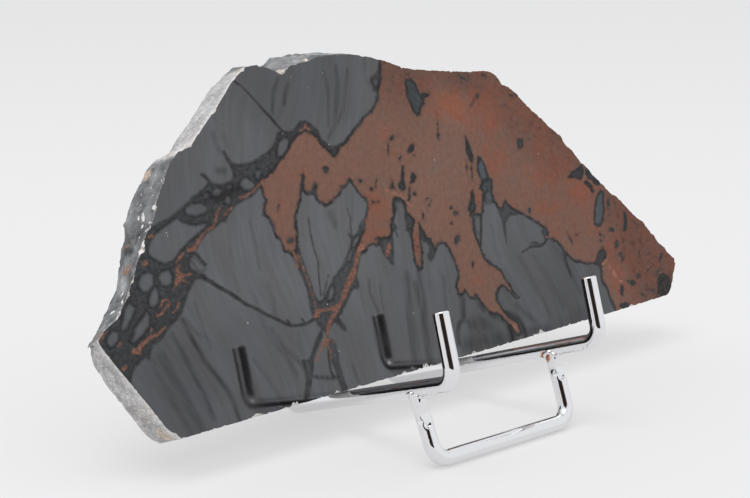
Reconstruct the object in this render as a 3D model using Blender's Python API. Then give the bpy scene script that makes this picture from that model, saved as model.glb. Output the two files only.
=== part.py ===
"""A polished slab of mahogany obsidian leaning on a stand bent from chrome-plated round rod.

Lengths are written in millimetres and turned into metres where the meshes are made.
X runs along the slab, Y from the front posts to the back rest, Z up from the table.
"""

import math

import bmesh
import bpy
from mathutils import Euler, Matrix, Vector, noise

MM = 0.001

# The rod and the stand, in the stand's own frame: X = 0 half way between the posts, Y = 0 at their feet
ROD = 4.0
GAP = 0.3
POST_SPACING = 50.0
POST_LEAN = math.radians(16.5)
POST_BEND = 4.0
REAR_BEND = 5.0
REST_BEND = 9.0
REST_HEIGHT = 64.0
FOOT_Y = 8.6
FOOT_BEND = 4.5
END_CHAMFER = 0.45
QUARTER_STEPS = 4
BEND_STEP = math.radians(18)
COPE_LENGTH = 40.0
COPE_SIDES = 32

# Each side of the stand: sign of X, height of the arm's front corner, post length, X of the
# foot's leg, and where the rear bend stands on the table
SIDES = {
    "left": {"sign": -1, "corner_z": 23.4, "post": 16.6, "leg_x": -22.7, "rear": (-20.6, 64.2)},
    "right": {"sign": 1, "corner_z": 24.4, "post": 16.0, "leg_x": 23.4, "rear": (16.6, 66.0)},
}

# The slab: thickness, lean from upright, and how far back along the arms its front edge stands
THICKNESS = 10.5
SLAB_LEAN = math.radians(17.0)
SLAB_REST_Y = 39.95
RIM_STEP = 2.2
RIM_DEPTHS = (0.0, 0.7, 3.0, 5.6, 8.2, 10.0, 10.5)

# The outline of the polished face, anticlockwise from its lower left corner, as (along, up)
# from the point where the face stands on the left arm. Each stretch has the depth of its
# broken relief: the sawn stretches have next to none.
BOTTOM_CUT = [(-50.5, -0.5), (-15.0, -0.2), (20.0, 0.0), (50.0, 0.2), (80.0, 0.5), (108.0, 0.9), (125.0, 1.3)]
RIGHT_END = [
    (126.3, 1.8), (127.8, 3.1), (129.2, 5.0), (130.0, 6.8), (131.3, 8.4), (132.2, 9.9), (132.3, 11.4), (131.4, 12.3),
]
LONG_EDGE = [
    (129.5, 14.0), (128.9, 15.4), (126.5, 17.4), (125.6, 19.4), (123.0, 22.4), (121.6, 24.6), (119.4, 26.0),
    (117.0, 28.5), (114.2, 31.6), (113.2, 33.1), (109.8, 35.2), (107.4, 38.2), (104.0, 41.3), (103.2, 42.8),
    (99.4, 46.7), (97.8, 49.3), (95.3, 51.4), (94.3, 54.0), (90.0, 57.5), (88.0, 59.9), (84.8, 62.6),
    (81.5, 66.0), (80.5, 67.5), (77.6, 70.0), (75.0, 71.1), (73.8, 73.6), (71.6, 75.0), (69.8, 75.5),
]
CREST = [
    (62.0, 75.8), (50.0, 77.2), (43.0, 78.1), (39.5, 78.9), (35.0, 80.7), (31.6, 81.9), (28.0, 82.8), (22.5, 83.8),
    (16.0, 84.2), (11.5, 83.9), (8.6, 83.1), (3.0, 82.4), (0.8, 81.4), (-0.8, 80.4), (-2.6, 81.4), (-4.8, 82.5),
    (-7.4, 83.3), (-10.8, 83.2), (-13.2, 81.8),
]
UPPER_LEFT_CUT = [(-16.4, 79.4), (-20.6, 75.3), (-24.3, 72.0), (-28.2, 68.8), (-31.6, 65.5)]
LEFT_BREAK = [
    (-35.4, 64.7), (-38.4, 62.2), (-40.2, 59.6), (-42.8, 55.8), (-44.4, 53.0), (-45.4, 50.6), (-47.6, 48.0),
    (-49.2, 46.0), (-50.2, 43.8), (-52.2, 41.2), (-53.8, 38.4), (-55.6, 35.6), (-57.4, 32.8), (-59.8, 30.2),
    (-62.2, 28.4), (-64.6, 27.0), (-66.4, 25.4),
]
LEFT_CUT = [(-65.9, 23.8), (-63.6, 19.6), (-60.8, 14.8), (-57.6, 9.2), (-54.2, 3.0), (-52.2, 0.6)]
STRETCHES = [
    (BOTTOM_CUT, 0.0), (RIGHT_END, 0.5), (LONG_EDGE, 0.6), (CREST, 0.45), (UPPER_LEFT_CUT, 0.12),
    (LEFT_BREAK, 0.6), (LEFT_CUT, 0.15),
]

# Conchoidal bites out of the rim, where the glass broke: along and up of the spot they bite,
# its depth behind the polished face, radius of the round fracture, how deep it bites
SCOOPS = [
    (-40.5, 61.5, 4.4, 6.0, 1.1), (-44.5, 55.5, 5.2, 7.0, 1.3), (-47.5, 50.0, 4.6, 5.0, 1.0),
    (-49.5, 46.5, 8.4, 8.0, 1.1), (-52.5, 41.5, 6.0, 9.0, 1.3), (-56.5, 36.0, 6.8, 8.0, 1.5),
    (-60.5, 30.5, 5.4, 5.0, 1.2), (-64.0, 27.6, 7.6, 5.0, 1.3),
    (2.0, 83.5, 4.2, 9.0, 1.3), (19.0, 86.4, 11.5, 18.0, 1.6), (47.0, 77.5, 8.6, 20.0, 1.8),
    (74.0, 72.5, 8.0, 11.0, 1.8), (86.0, 61.5, 9.6, 15.0, 2.0), (97.0, 49.5, 6.6, 11.0, 1.5),
    (108.5, 37.0, 9.2, 15.0, 2.0), (121.0, 24.8, 7.4, 10.0, 1.5), (131.5, 10.5, 8.0, 9.0, 1.7),
]

# How much taller the back of the slab is than its front along the crest: along, extra height
CREST_FOOT = 75.0
CREST_RISE = [(-11.0, 0.0), (-6.0, 2.4), (2.0, 3.8), (6.0, 4.2), (13.0, 3.6), (20.0, 2.8), (27.0, 1.6), (34.0, 0.0)]

# How far the back stands out past the front along the left side: up, outward
LEFT_SPREAD = [
    (-1.0, 0.8), (3.0, 0.2), (15.0, 0.0), (20.0, -0.9), (24.0, -3.2), (27.0, -2.6), (31.0, -1.0),
    (36.0, -1.7), (43.0, -0.6), (49.0, 1.5), (55.0, 1.5), (61.0, 0.2), (65.0, 0.0), (80.0, 0.2),
]
LEFT_SIDE = -14.0

# Along the right side the back stands inside the front; it gets there over a short run of the
# crest, and the sawn bottom keeps square
RIGHT_SPREAD = -1.1
RIGHT_SIDE = 70.0
RIGHT_RUN = 10.0
BOTTOM_BAND = 2.0

# The broken relief: waves to a millimetre of its coarse and fine roughness, how deep behind the
# polished face it reaches its full height, and where in the noise it is taken
COARSE = 0.21
FINE = 0.6
RELIEF_DEPTH = 2.5
ROUGH_SEED = 4.7

# How each biting ball is turned from the one before, so that its facets never line up
SCOOP_TURN = (0.7, 1.3, 0.0)

CHROME_COLOUR = (0.80, 0.81, 0.82)
CHROME_ROUGHNESS = 0.06
STONE_COLOUR = (0.11, 0.065, 0.055)
STONE_ROUGHNESS = 0.08


def clear_scene():
    for thing in list(bpy.data.objects):
        bpy.data.objects.remove(thing, do_unlink=True)


def material(name, colour, roughness, metallic):
    made = bpy.data.materials.new(name)
    made.use_nodes = True
    shader = made.node_tree.nodes["Principled BSDF"]
    shader.inputs["Base Color"].default_value = (*colour, 1.0)
    shader.inputs["Roughness"].default_value = roughness
    shader.inputs["Metallic"].default_value = metallic
    made.diffuse_color = (*colour, 1.0)
    return made


def link(thing, parent):
    bpy.context.scene.collection.objects.link(thing)
    thing.parent = parent
    return thing


# Bent rod


def rounded_path(corners, radii):
    """The corners joined by straight runs, each inner corner turned with its radius."""
    path = [corners[0]]
    for before, corner, after, radius in zip(corners, corners[1:], corners[2:], radii):
        into = (corner - before).normalized()
        out = (after - corner).normalized()
        turn = into.angle(out)
        reach = radius * math.tan(turn / 2)
        inward = (out - into * into.dot(out)).normalized()
        start = corner - into * reach
        centre = start + inward * radius
        steps = max(2, math.ceil(turn / BEND_STEP))
        for step in range(steps + 1):
            angle = turn * step / steps
            path.append(centre - inward * radius * math.cos(angle) + into * radius * math.sin(angle))
    path.append(corners[-1])
    return path


def rod(name, path, chamfered, finish, parent):
    """A round rod along the path. Chamfered ends narrow a little at the cut."""
    points = [(point, 1.0) for point in path]
    if chamfered:
        narrow = (ROD / 2 - END_CHAMFER) / (ROD / 2)
        first = points[0][0] + (points[1][0] - points[0][0]).normalized() * END_CHAMFER
        last = points[-1][0] + (points[-2][0] - points[-1][0]).normalized() * END_CHAMFER
        points = [(path[0], narrow), (first, 1.0), *points[1:-1], (last, 1.0), (path[-1], narrow)]
    curve = bpy.data.curves.new(name, "CURVE")
    curve.dimensions = "3D"
    curve.bevel_depth = ROD / 2 * MM
    curve.bevel_resolution = QUARTER_STEPS
    curve.use_fill_caps = True
    curve.twist_mode = "MINIMUM"
    spline = curve.splines.new("POLY")
    spline.points.add(len(points) - 1)
    for spot, (point, radius) in zip(spline.points, points):
        spot.co = (*(point * MM), 1.0)
        spot.radius = radius
    spline.use_smooth = True
    curve.materials.append(finish)
    return link(bpy.data.objects.new(name, curve), parent)


def front_corner(side):
    return Vector((side["sign"] * POST_SPACING / 2, 0.0, side["corner_z"]))


def post_top(side):
    return front_corner(side) + Vector((0.0, math.sin(POST_LEAN), math.cos(POST_LEAN))) * side["post"]


def arm_direction(side):
    """From the front corner down to the spot where the rod's axis passes over its rear foothold."""
    return (Vector((*side["rear"], ROD / 2)) - front_corner(side)).normalized()


def arm_point(side, y):
    direction = arm_direction(side)
    return front_corner(side) + direction * (y / direction.y)


def rear_corner(side):
    """The sharp corner whose rounded bend has its lowest point on the table."""
    direction = arm_direction(side)
    dip = math.asin(-direction.z)
    turn = math.pi / 2 + dip
    rise = REAR_BEND * (math.tan(turn / 2) * math.sin(dip) + math.cos(dip) - 1)
    reach = (ROD / 2 - rise - front_corner(side).z) / direction.z
    return front_corner(side) + direction * reach


def rest_y():
    """Y of the back rest's bar, which touches the slab's back at the bar's height."""
    back = slab_point(0.0, 0.0, THICKNESS)
    return back.y + (REST_HEIGHT - back.z) * math.tan(SLAB_LEAN) + (ROD / 2 + GAP) / math.cos(SLAB_LEAN)


def make_cradle(finish, parent):
    """One rod: post, arm, back-rest arch, arm, post."""
    left = SIDES["left"]
    right = SIDES["right"]
    rest = [Vector((rear_corner(side).x, rest_y(), REST_HEIGHT)) for side in (left, right)]
    corners = [
        post_top(left), front_corner(left), rear_corner(left), rest[0],
        rest[1], rear_corner(right), front_corner(right), post_top(right),
    ]
    radii = [POST_BEND, REAR_BEND, REST_BEND, REST_BEND, REAR_BEND, POST_BEND]
    return rod("cradle", rounded_path(corners, radii), True, finish, parent)


def foot_corner(side):
    return Vector((side["leg_x"], FOOT_Y, ROD / 2))


def foot_top(side):
    """Where a leg of the foot, square to the arm, meets the arm's axis."""
    direction = arm_direction(side)
    along = (foot_corner(side) - front_corner(side)).dot(direction)
    return front_corner(side) + direction * along


def arm_cutter(side, parent):
    """A bar along the arm, a gap wider than the rod, that copes the leg's end to the arm."""
    bpy.ops.mesh.primitive_cylinder_add(vertices=COPE_SIDES, radius=(ROD / 2 + GAP) * MM, depth=COPE_LENGTH * MM)
    cutter = bpy.context.object
    cutter.name = "cope_" + ("left" if side["sign"] < 0 else "right")
    cutter.location = foot_top(side) * MM
    cutter.rotation_euler = arm_direction(side).to_track_quat("Z", "Y").to_euler()
    cutter.parent = parent
    cutter.hide_render = True
    cutter.display_type = "WIRE"
    return cutter


def make_front_foot(finish, parent):
    """A bent rod whose bar stands on the table and whose legs end under the arms."""
    left = SIDES["left"]
    right = SIDES["right"]
    corners = [foot_top(left), foot_corner(left), foot_corner(right), foot_top(right)]
    curve = rod("foot_curve", rounded_path(corners, [FOOT_BEND, FOOT_BEND]), False, finish, parent)
    bpy.context.view_layer.update()
    mesh = bpy.data.meshes.new_from_object(curve.evaluated_get(bpy.context.evaluated_depsgraph_get()))
    foot = link(bpy.data.objects.new("front_foot", mesh), parent)
    bpy.data.objects.remove(curve, do_unlink=True)
    for side in (left, right):
        cut = foot.modifiers.new("cope", "BOOLEAN")
        cut.operation = "DIFFERENCE"
        cut.solver = "EXACT"
        cut.object = arm_cutter(side, parent)
    return foot


# The slab


def slab_frame():
    """Matrix from (along, up, towards the viewer) on the polished face to the stand's frame."""
    feet = [arm_point(side, SLAB_REST_Y) for side in (SIDES["left"], SIDES["right"])]
    lift = (ROD / 2 + GAP) / math.cos(math.asin(-arm_direction(SIDES["left"]).z))
    tilt = math.atan2(feet[1].z - feet[0].z, feet[1].x - feet[0].x)
    lean = Euler((math.pi / 2 - SLAB_LEAN, 0.0, 0.0)).to_matrix().to_4x4()
    place = Matrix.Translation(feet[0] + Vector((0.0, 0.0, lift)))
    return place @ lean @ Matrix.Rotation(tilt, 4, "Z")


def slab_point(along, up, depth):
    return slab_frame() @ Vector((along, up, -depth))


def between(table, place):
    """The value at a place in a table of (place, value), level past its ends."""
    if place <= table[0][0]:
        return table[0][1]
    for (start, value), (end, following) in zip(table, table[1:]):
        if place <= end:
            return value + (following - value) * (place - start) / (end - start)
    return table[-1][1]


def spread(point):
    """How far the back stands out past the front at a point of the outline."""
    if point.x < LEFT_SIDE:
        return between(LEFT_SPREAD, point.y)
    if point.y < BOTTOM_BAND:
        return 0.0
    return RIGHT_SPREAD * min(1.0, max(0.0, (point.x - RIGHT_SIDE) / RIGHT_RUN))


def outline():
    """The outline at even steps, each point with its outward direction and its relief."""
    corners = [(Vector(point), relief) for stretch, relief in STRETCHES for point in stretch]
    walk = []
    for (start, relief), (end, _) in zip(corners, corners[1:] + corners[:1]):
        steps = max(1, round((end - start).length / RIM_STEP))
        for step in range(steps):
            walk.append((start.lerp(end, step / steps), relief))
    made = []
    for index, (point, relief) in enumerate(walk):
        run = walk[(index + 1) % len(walk)][0] - walk[index - 1][0]
        made.append((point, Vector((run.y, -run.x)).normalized(), relief))
    return made


def rim_point(point, outward, relief, depth):
    """A point of the rim at a depth behind the polished face: rough, spread, taller at the crest."""
    back = depth / THICKNESS
    place = Vector((point.x, point.y, depth))
    shift = Vector((0.0, 0.0, ROUGH_SEED))
    coarse = noise.noise(place * COARSE + shift)
    fine = noise.noise(place * FINE - shift)
    rough = relief * (coarse + fine / 2) * min(1.0, depth / RELIEF_DEPTH)
    moved = point + outward * (rough + spread(point) * back)
    if point.y > CREST_FOOT:
        moved.y += between(CREST_RISE, point.x) * back
    return slab_point(moved.x, moved.y, depth)


def scoop_cutter(index, scoop, edge, parent):
    """A ball outside the rim that bites into it at the nearest point of the outline."""
    along, up, depth, radius, bite = scoop
    spot = Vector((along, up))
    outward = min(edge, key=lambda found: (found[0] - spot).length)[1]
    bpy.ops.mesh.primitive_ico_sphere_add(subdivisions=3, radius=radius * MM)
    cutter = bpy.context.object
    cutter.name = f"scoop_{index}"
    centre = spot + outward * (radius - bite)
    cutter.location = slab_point(centre.x, centre.y, depth) * MM
    cutter.rotation_euler = [index * angle for angle in SCOOP_TURN]
    cutter.parent = parent
    cutter.hide_render = True
    cutter.display_type = "WIRE"
    return cutter


def make_slab(finish, parent):
    """The stone: a polished face, a sawn back, and a rim that is partly sawn and partly broken."""
    edge = outline()
    shape = bmesh.new()
    rings = []
    for depth in RIM_DEPTHS:
        rings.append([shape.verts.new(rim_point(*spot, depth) * MM) for spot in edge])
    for near, far in zip(rings, rings[1:]):
        for index in range(len(edge)):
            after = (index + 1) % len(edge)
            shape.faces.new((near[index], far[index], far[after], near[after]))
    shape.faces.new(rings[0])
    shape.faces.new(list(reversed(rings[-1])))
    bmesh.ops.triangulate(shape, faces=shape.faces[:])
    bmesh.ops.recalc_face_normals(shape, faces=shape.faces[:])
    mesh = bpy.data.meshes.new("slab")
    shape.to_mesh(mesh)
    shape.free()
    mesh.materials.append(finish)
    slab = link(bpy.data.objects.new("slab", mesh), parent)
    for index, scoop in enumerate(SCOOPS):
        cut = slab.modifiers.new(f"scoop_{index}", "BOOLEAN")
        cut.operation = "DIFFERENCE"
        cut.solver = "EXACT"
        cut.object = scoop_cutter(index, scoop, edge, parent)
    return slab


def centre_on_footprint(base, things):
    """Move the whole so that the origin is the middle of its footprint, on the table."""
    bpy.context.view_layer.update()
    graph = bpy.context.evaluated_depsgraph_get()
    spots = []
    for thing in things:
        shown = thing.evaluated_get(graph)
        mesh = shown.to_mesh()
        spots += [shown.matrix_world @ spot.co for spot in mesh.vertices]
        shown.to_mesh_clear()
    low = Vector(min(spot[axis] for spot in spots) for axis in range(3))
    high = Vector(max(spot[axis] for spot in spots) for axis in range(3))
    middle = (low + high) / 2
    base.location = (-middle.x, -middle.y, -low.z)


def main():
    clear_scene()
    base = bpy.data.objects.new("footprint_centre", None)
    bpy.context.scene.collection.objects.link(base)
    chrome = material("chrome_rod", CHROME_COLOUR, CHROME_ROUGHNESS, 1.0)
    stone = material("mahogany_obsidian", STONE_COLOUR, STONE_ROUGHNESS, 0.0)
    cradle = make_cradle(chrome, base)
    foot = make_front_foot(chrome, base)
    slab = make_slab(stone, base)
    centre_on_footprint(base, [cradle, foot, slab])


main()
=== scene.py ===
"""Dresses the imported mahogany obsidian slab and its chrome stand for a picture.

The slab gets a fine rim, a polished face and back, and the stone's own pattern, laid out in
millimetres along and up the face. The stand's rods are bent again as smooth round rods with
their welds. Lengths are in millimetres until a mesh is made.
"""

import math

import bmesh
import bpy
import numpy as np
from mathutils import Euler, Matrix, Vector, noise
from mathutils.geometry import delaunay_2d_cdt


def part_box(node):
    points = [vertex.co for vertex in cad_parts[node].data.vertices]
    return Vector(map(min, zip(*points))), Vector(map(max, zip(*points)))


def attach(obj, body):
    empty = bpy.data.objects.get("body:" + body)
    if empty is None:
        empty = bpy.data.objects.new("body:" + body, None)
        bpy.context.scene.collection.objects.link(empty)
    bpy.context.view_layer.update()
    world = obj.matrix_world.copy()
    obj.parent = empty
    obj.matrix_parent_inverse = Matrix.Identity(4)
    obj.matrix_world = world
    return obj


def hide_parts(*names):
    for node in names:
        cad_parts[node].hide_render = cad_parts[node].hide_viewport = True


bl_info = {
    "name": "Obsidian slab on a bent rod stand",
    "version": (1, 0, 0),
    "blender": (4, 5, 0),
    "location": "View3D > Sidebar > Obsidian",
    "description": "Builds a polished slab of mahogany obsidian on its chrome stand",
    "category": "Object",
}

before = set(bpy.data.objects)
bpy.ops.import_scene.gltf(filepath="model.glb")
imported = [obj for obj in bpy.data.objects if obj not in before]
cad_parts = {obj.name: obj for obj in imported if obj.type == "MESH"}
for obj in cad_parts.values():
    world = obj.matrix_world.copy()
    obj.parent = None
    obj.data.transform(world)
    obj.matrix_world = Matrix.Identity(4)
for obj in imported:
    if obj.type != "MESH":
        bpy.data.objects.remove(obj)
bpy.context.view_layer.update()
MM = 0.001

# The stand's frame: X = 0 half way between the posts, Y = 0 at the posts' feet, Z = 0 the table.
# The rods reach a little in front of the posts' feet.
FRONT_REACH = 1.067
CRADLE_LOW, CRADLE_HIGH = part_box("cradle")
STAND = Vector(((CRADLE_LOW.x + CRADLE_HIGH.x) / 2 / MM, CRADLE_LOW.y / MM + FRONT_REACH, 0.0))

# The slab: its thickness, its lean, and how far back along the arms its polished face stands
THICKNESS = 10.5
SLAB_LEAN = math.radians(17.0)
SLAB_REST_Y = 39.95

# The stand: its rod, the gap to the slab that stands in for touching, its posts, bends, back rest and
# foot. Its two sides differ a little, as they were bent: how high the corner between post and arm is, how
# long the post is, where the foot's leg stands, and the place (x, y) at the back that the arm runs down to.
ROD = 4.0
GAP = 0.3
POST_SPACING = 50.0
POST_LEAN = math.radians(16.5)
POST_BEND = 4.0
REAR_BEND = 5.0
REST_BEND = 9.0
REST_HEIGHT = 64.0
REST_Y = 69.078
FOOT_Y = 8.6
FOOT_BEND = 4.5
SIDES = {
    "left": {"sign": -1, "corner_z": 23.4, "post": 16.6, "leg_x": -22.7, "rear": (-20.6, 64.2)},
    "right": {"sign": 1, "corner_z": 24.4, "post": 16.0, "leg_x": 23.4, "rear": (16.6, 66.0)},
}

# The stone's pattern, as (along, up) on the polished face

# The mahogany: down the left edge of the big field, round the two lobes and the drips, and
# back outside the slab
MAHOGANY = [
    (33, 86), (32.6, 82), (32, 80.4), (31.6, 78.5), (31, 76.6), (30.2, 74.8), (29.2, 73.4), (28.7, 71.6),
    (27.2, 69.6), (25.6, 68.2), (24, 67.7), (22.4, 66.6), (20.2, 65), (18.4, 63.8), (16.6, 62.4),
    (15.2, 61.2), (13.8, 60.6), (12.4, 60.2), (11.4, 58.6), (10.2, 58), (9.4, 58.2), (8.6, 59.4),
    (7.2, 60.8), (6.2, 61.8), (5.8, 63.4), (4.6, 64.2), (3.2, 65.2), (2, 65.4), (0.6, 64.8), (-1, 64),
    (-2.4, 62.8), (-3.8, 61.2), (-5.4, 59.8), (-7.4, 58.6), (-8.6, 57.4), (-10, 56.4), (-12, 55.4),
    (-14.2, 54.6), (-13.6, 53), (-13.8, 51.6), (-13.2, 50), (-14.4, 48.2), (-14.6, 47), (-13.4, 45.4),
    (-12.9, 43.6), (-12.8, 42), (-12.4, 40.8), (-11.6, 40.2), (-11.4, 38.8), (-11, 37.4), (-10, 36.8),
    (-8.9, 36), (-8, 37.2), (-7.5, 39.2), (-7, 41), (-6.8, 43), (-6.5, 44.8), (-5.4, 46.6), (-4.4, 48.2),
    (-3.6, 49.4), (-3.2, 50.6), (-2.5, 52.6), (-1.6, 54.8), (-0.6, 55.4), (-0.4, 54.2), (-1.2, 52.4),
    (-1.6, 51.2), (-0.8, 50.5), (0.6, 50.4), (1.4, 51.8), (2.4, 52.5), (3, 52), (2.2, 50.8), (1.8, 49.4),
    (2.3, 48.2), (3, 47.4), (4.2, 46.8), (5.4, 47.2), (7, 47.8), (8.6, 48.6), (9.6, 49.8), (11, 50.6),
    (12.2, 51.2), (13.2, 52.6), (13.8, 52.2), (14.4, 50.6), (15.2, 49), (16.2, 47.6), (17.4, 46.4),
    (18, 45.2), (17.6, 44), (16.8, 42.4), (15.7, 40.8), (14.9, 38.8), (13.8, 37.2), (12.6, 35.8),
    (11.6, 34.6), (11, 33.8), (11.8, 33.2), (13.4, 33.6), (14.8, 34.6), (16.4, 35), (17.6, 34.2),
    (18, 34.8), (18.6, 36.2), (19.6, 35.6), (21, 35.8), (22.4, 35.6), (22.9, 36.6), (23.2, 38.2),
    (24, 39.8), (25, 40.8), (25.3, 42.2), (25.6, 43.8), (26.3, 45.3), (27.6, 45.5), (28.8, 44.9),
    (29.9, 44), (30.4, 42.6), (30.2, 40.8), (31.4, 39.8), (32.2, 38.6), (31.6, 37.4), (30.9, 36.2),
    (30.3, 34.6), (29.9, 32.6), (29.6, 30.4), (29.4, 28.4), (29.7, 26.6), (30.6, 26.2), (31.1, 27.6),
    (31.5, 29.4), (31.9, 31.6), (32.2, 33.6), (32.7, 35.4), (33, 37.4), (33.5, 37.6), (33.9, 36),
    (34.6, 35), (35, 33.4), (36.2, 32.8), (36.6, 31.4), (36.8, 30.2), (37.6, 30.9), (38.6, 31.6),
    (39.8, 31.6), (41.2, 31), (42.2, 29.4), (42.7, 27.4), (43.2, 25.2), (43.6, 22.8), (43.2, 20.9),
    (42.2, 19.6), (41.8, 18.4), (42, 17.2), (43, 16.9), (44.2, 17.8), (45, 16.8), (45.4, 15.6),
    (46.6, 15.2), (47.4, 16), (48.4, 15.4), (49, 14), (50, 12.4), (51, 10.8), (52.4, 9.9), (54, 9.4),
    (55.1, 8.8), (56.2, 7.4), (57.2, 6.1), (58.2, 5.3), (59, 4), (59.8, 2.4), (60.9, 2.6), (60.6, 4.6),
    (59.4, 6), (57.9, 6.9), (56.8, 8.4), (55.8, 10), (55, 11.6), (54.6, 13), (54.8, 14.4), (55.8, 15.6),
    (56.8, 16.5), (57.8, 16.8), (59, 16.2), (60, 15.2), (61, 14), (60.6, 15.6), (59.8, 17), (59, 18.6),
    (58.4, 20), (57.2, 21.2), (55.8, 22), (54.4, 23.2), (53.4, 24.4), (52.9, 26), (52.6, 28), (52.2, 29.6),
    (51.8, 31), (51.7, 33), (52.1, 35), (52.6, 36.6), (53.6, 37.2), (54.8, 37.2), (55.8, 36.9),
    (56.6, 37.6), (57, 39.4), (57.6, 41), (58.2, 42.4), (57.5, 43.8), (58.4, 45.2), (60, 46), (62, 46.2),
    (63.2, 45.4), (62.6, 43.8), (62, 42), (62.2, 40.2), (63, 38.4), (63.9, 37.2), (64.8, 38), (65.6, 39),
    (66.4, 39.2), (67.2, 38), (68.2, 36.8), (69.4, 36.2), (70.8, 35.4), (72.6, 34.3), (74.2, 33.4),
    (75.8, 32.3), (77.2, 31.3), (78.6, 30.3), (79.8, 29.2), (80.3, 27.8), (80, 26.6), (81, 26.3),
    (82.4, 25.6), (83.7, 24.4), (84.7, 22.9), (85.4, 21.6), (86.4, 20.5), (87.6, 19.3), (89, 18.4),
    (91, 17.9), (93, 17.1), (95, 16.9), (96.8, 16.6), (97.2, 17.8), (98.2, 18.8), (99.6, 19.8),
    (101.2, 20.4), (102, 19), (101.8, 17.4), (101, 16.5), (99.8, 15.9), (99, 15.2), (98.9, 13.5),
    (98.4, 11.8), (98.3, 10.4), (99.2, 9.2), (99.8, 7.4), (100.1, 5.2), (100.8, 3.6), (101.2, 2),
    (101.4, -3), (140, -3), (140, 20), (105, 62), (80, 88),
]

# Dark inclusions in the mahogany: how dusky their hearts are, and their outlines
INCLUSIONS = [
    (0.42, [(39.2, 76), (41.6, 75.9), (42.6, 74.6), (43, 72.8), (43.7, 71.2), (44.5, 69.8), (44.4, 68.8),
     (42.8, 67.6), (41.8, 65.8), (40.4, 65.7), (39.3, 67.4), (38.7, 70), (38.4, 72.4), (38.7, 74.6)]),
    (0.5, [(44, 71.6), (46.8, 71.4), (46.4, 70.6), (44.9, 70.2), (43.8, 70.6)]),
    (0.5, [(34.5, 56.6), (35.4, 57.7), (37.5, 58.7), (37.3, 57.2), (36.4, 56.4), (35.2, 56.2)]),
    (0.5, [(35.4, 55), (37.4, 55.9), (36.8, 55.2), (35.8, 54.7)]),
    (0.5, [(56.5, 58.8), (57.1, 57), (57.6, 54.4), (57.8, 52.2), (57.2, 50.9), (56.2, 50.9), (55.7, 52.8),
     (55.4, 55), (56, 57.2)]),
    (0.15, [(59.3, 52.4), (60.6, 52.1), (61.4, 50.4), (61.8, 48.4), (62.1, 46), (60.6, 45.4), (59, 45.4),
     (58.3, 46.8), (57.9, 48.6), (58.5, 50.4)]),
    (0.4, [(51.2, 38.4), (52.4, 39.9), (53.3, 41.4), (53.8, 43.2), (54.9, 43.5), (55.2, 42), (54.7, 40.4),
     (54.8, 38.8), (54.2, 37.6), (52.6, 37.2)]),
    (0.5, [(29, 47.2), (28.6, 48.4), (30, 49.3), (30.8, 51.2), (31.5, 53.2), (32.4, 53.3), (31.8, 51),
     (31.4, 49), (31.3, 47), (30.3, 46.3)]),
    (0.5, [(33.1, 48), (33.7, 49.6), (34.4, 51.2), (35.3, 50.9), (35.7, 49.6), (34.9, 48.3)]),
    (0.5, [(25.6, 47.9), (26.8, 48.8), (27.2, 50.4), (27.5, 49.4), (27.7, 47.5), (26.8, 47.6)]),
    (0.5, [(31.1, 43.7), (31.6, 45.4), (32.6, 47.4), (33.1, 48.2), (32.6, 46.2), (32.2, 44.4),
     (31.8, 43.7)]),
    (0.5, [(28.4, 36.4), (29.4, 38.2), (30.8, 39.6), (32.3, 38.5), (31.4, 36.8), (29.8, 36)]),
    (0.55, [(92.8, 42.2), (94.4, 43.4), (96, 44), (97.6, 44.4), (98.6, 45), (99.6, 45.4), (100.4, 44.2),
     (99.9, 42.6), (99, 41.4), (98.2, 40.6), (97.4, 41), (95.6, 41.6), (94, 41.8)]),
    (0.55, [(100.9, 44), (101.6, 43.2), (103.4, 43.8), (105, 42.2), (107, 39.6), (106.2, 38.5),
     (104.4, 38.4), (103.2, 38.8), (102.4, 40.2), (101.2, 40.8), (100.5, 42)]),
    (0.6, [(99, 39.8), (100.2, 40.6), (101.6, 39.8), (102.4, 38.6), (102.6, 36.6), (101.6, 36.4),
     (101, 38)]),
    (0.2, [(99.5, 27.4), (99.8, 29.2), (100.6, 31), (101.6, 33), (102.8, 34.9), (104.2, 36.2), (105.6, 37),
     (106.7, 36.4), (106.4, 34.8), (105.8, 33), (105.6, 31), (104.6, 29.2), (103.6, 27.4), (102.2, 26.4),
     (100.6, 26.5)]),
    (0.6, [(111.2, 23.6), (112, 25.2), (112.9, 26.8), (113.2, 29), (113.9, 29.4), (114.4, 27.6),
     (114, 25.4), (113, 23.6), (112, 23.2)]),
    (0.64, [(120.6, 3), (121.2, 6.2), (122.8, 8.4), (125.4, 8.6), (127.6, 7), (127.4, 4), (125.6, 2),
     (122.6, 1.2)]),
    (0.5, [(102.6, 2.4), (104, 3.2), (106, 2.8), (107.6, 1.8), (106.4, 1.2), (103.6, 1.2)]),
    (0.5, [(108, 9.2), (109.6, 8.8), (110.4, 9), (112.1, 8), (111.2, 7.2), (109.8, 7.2), (109, 8.2)]),
]

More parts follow.
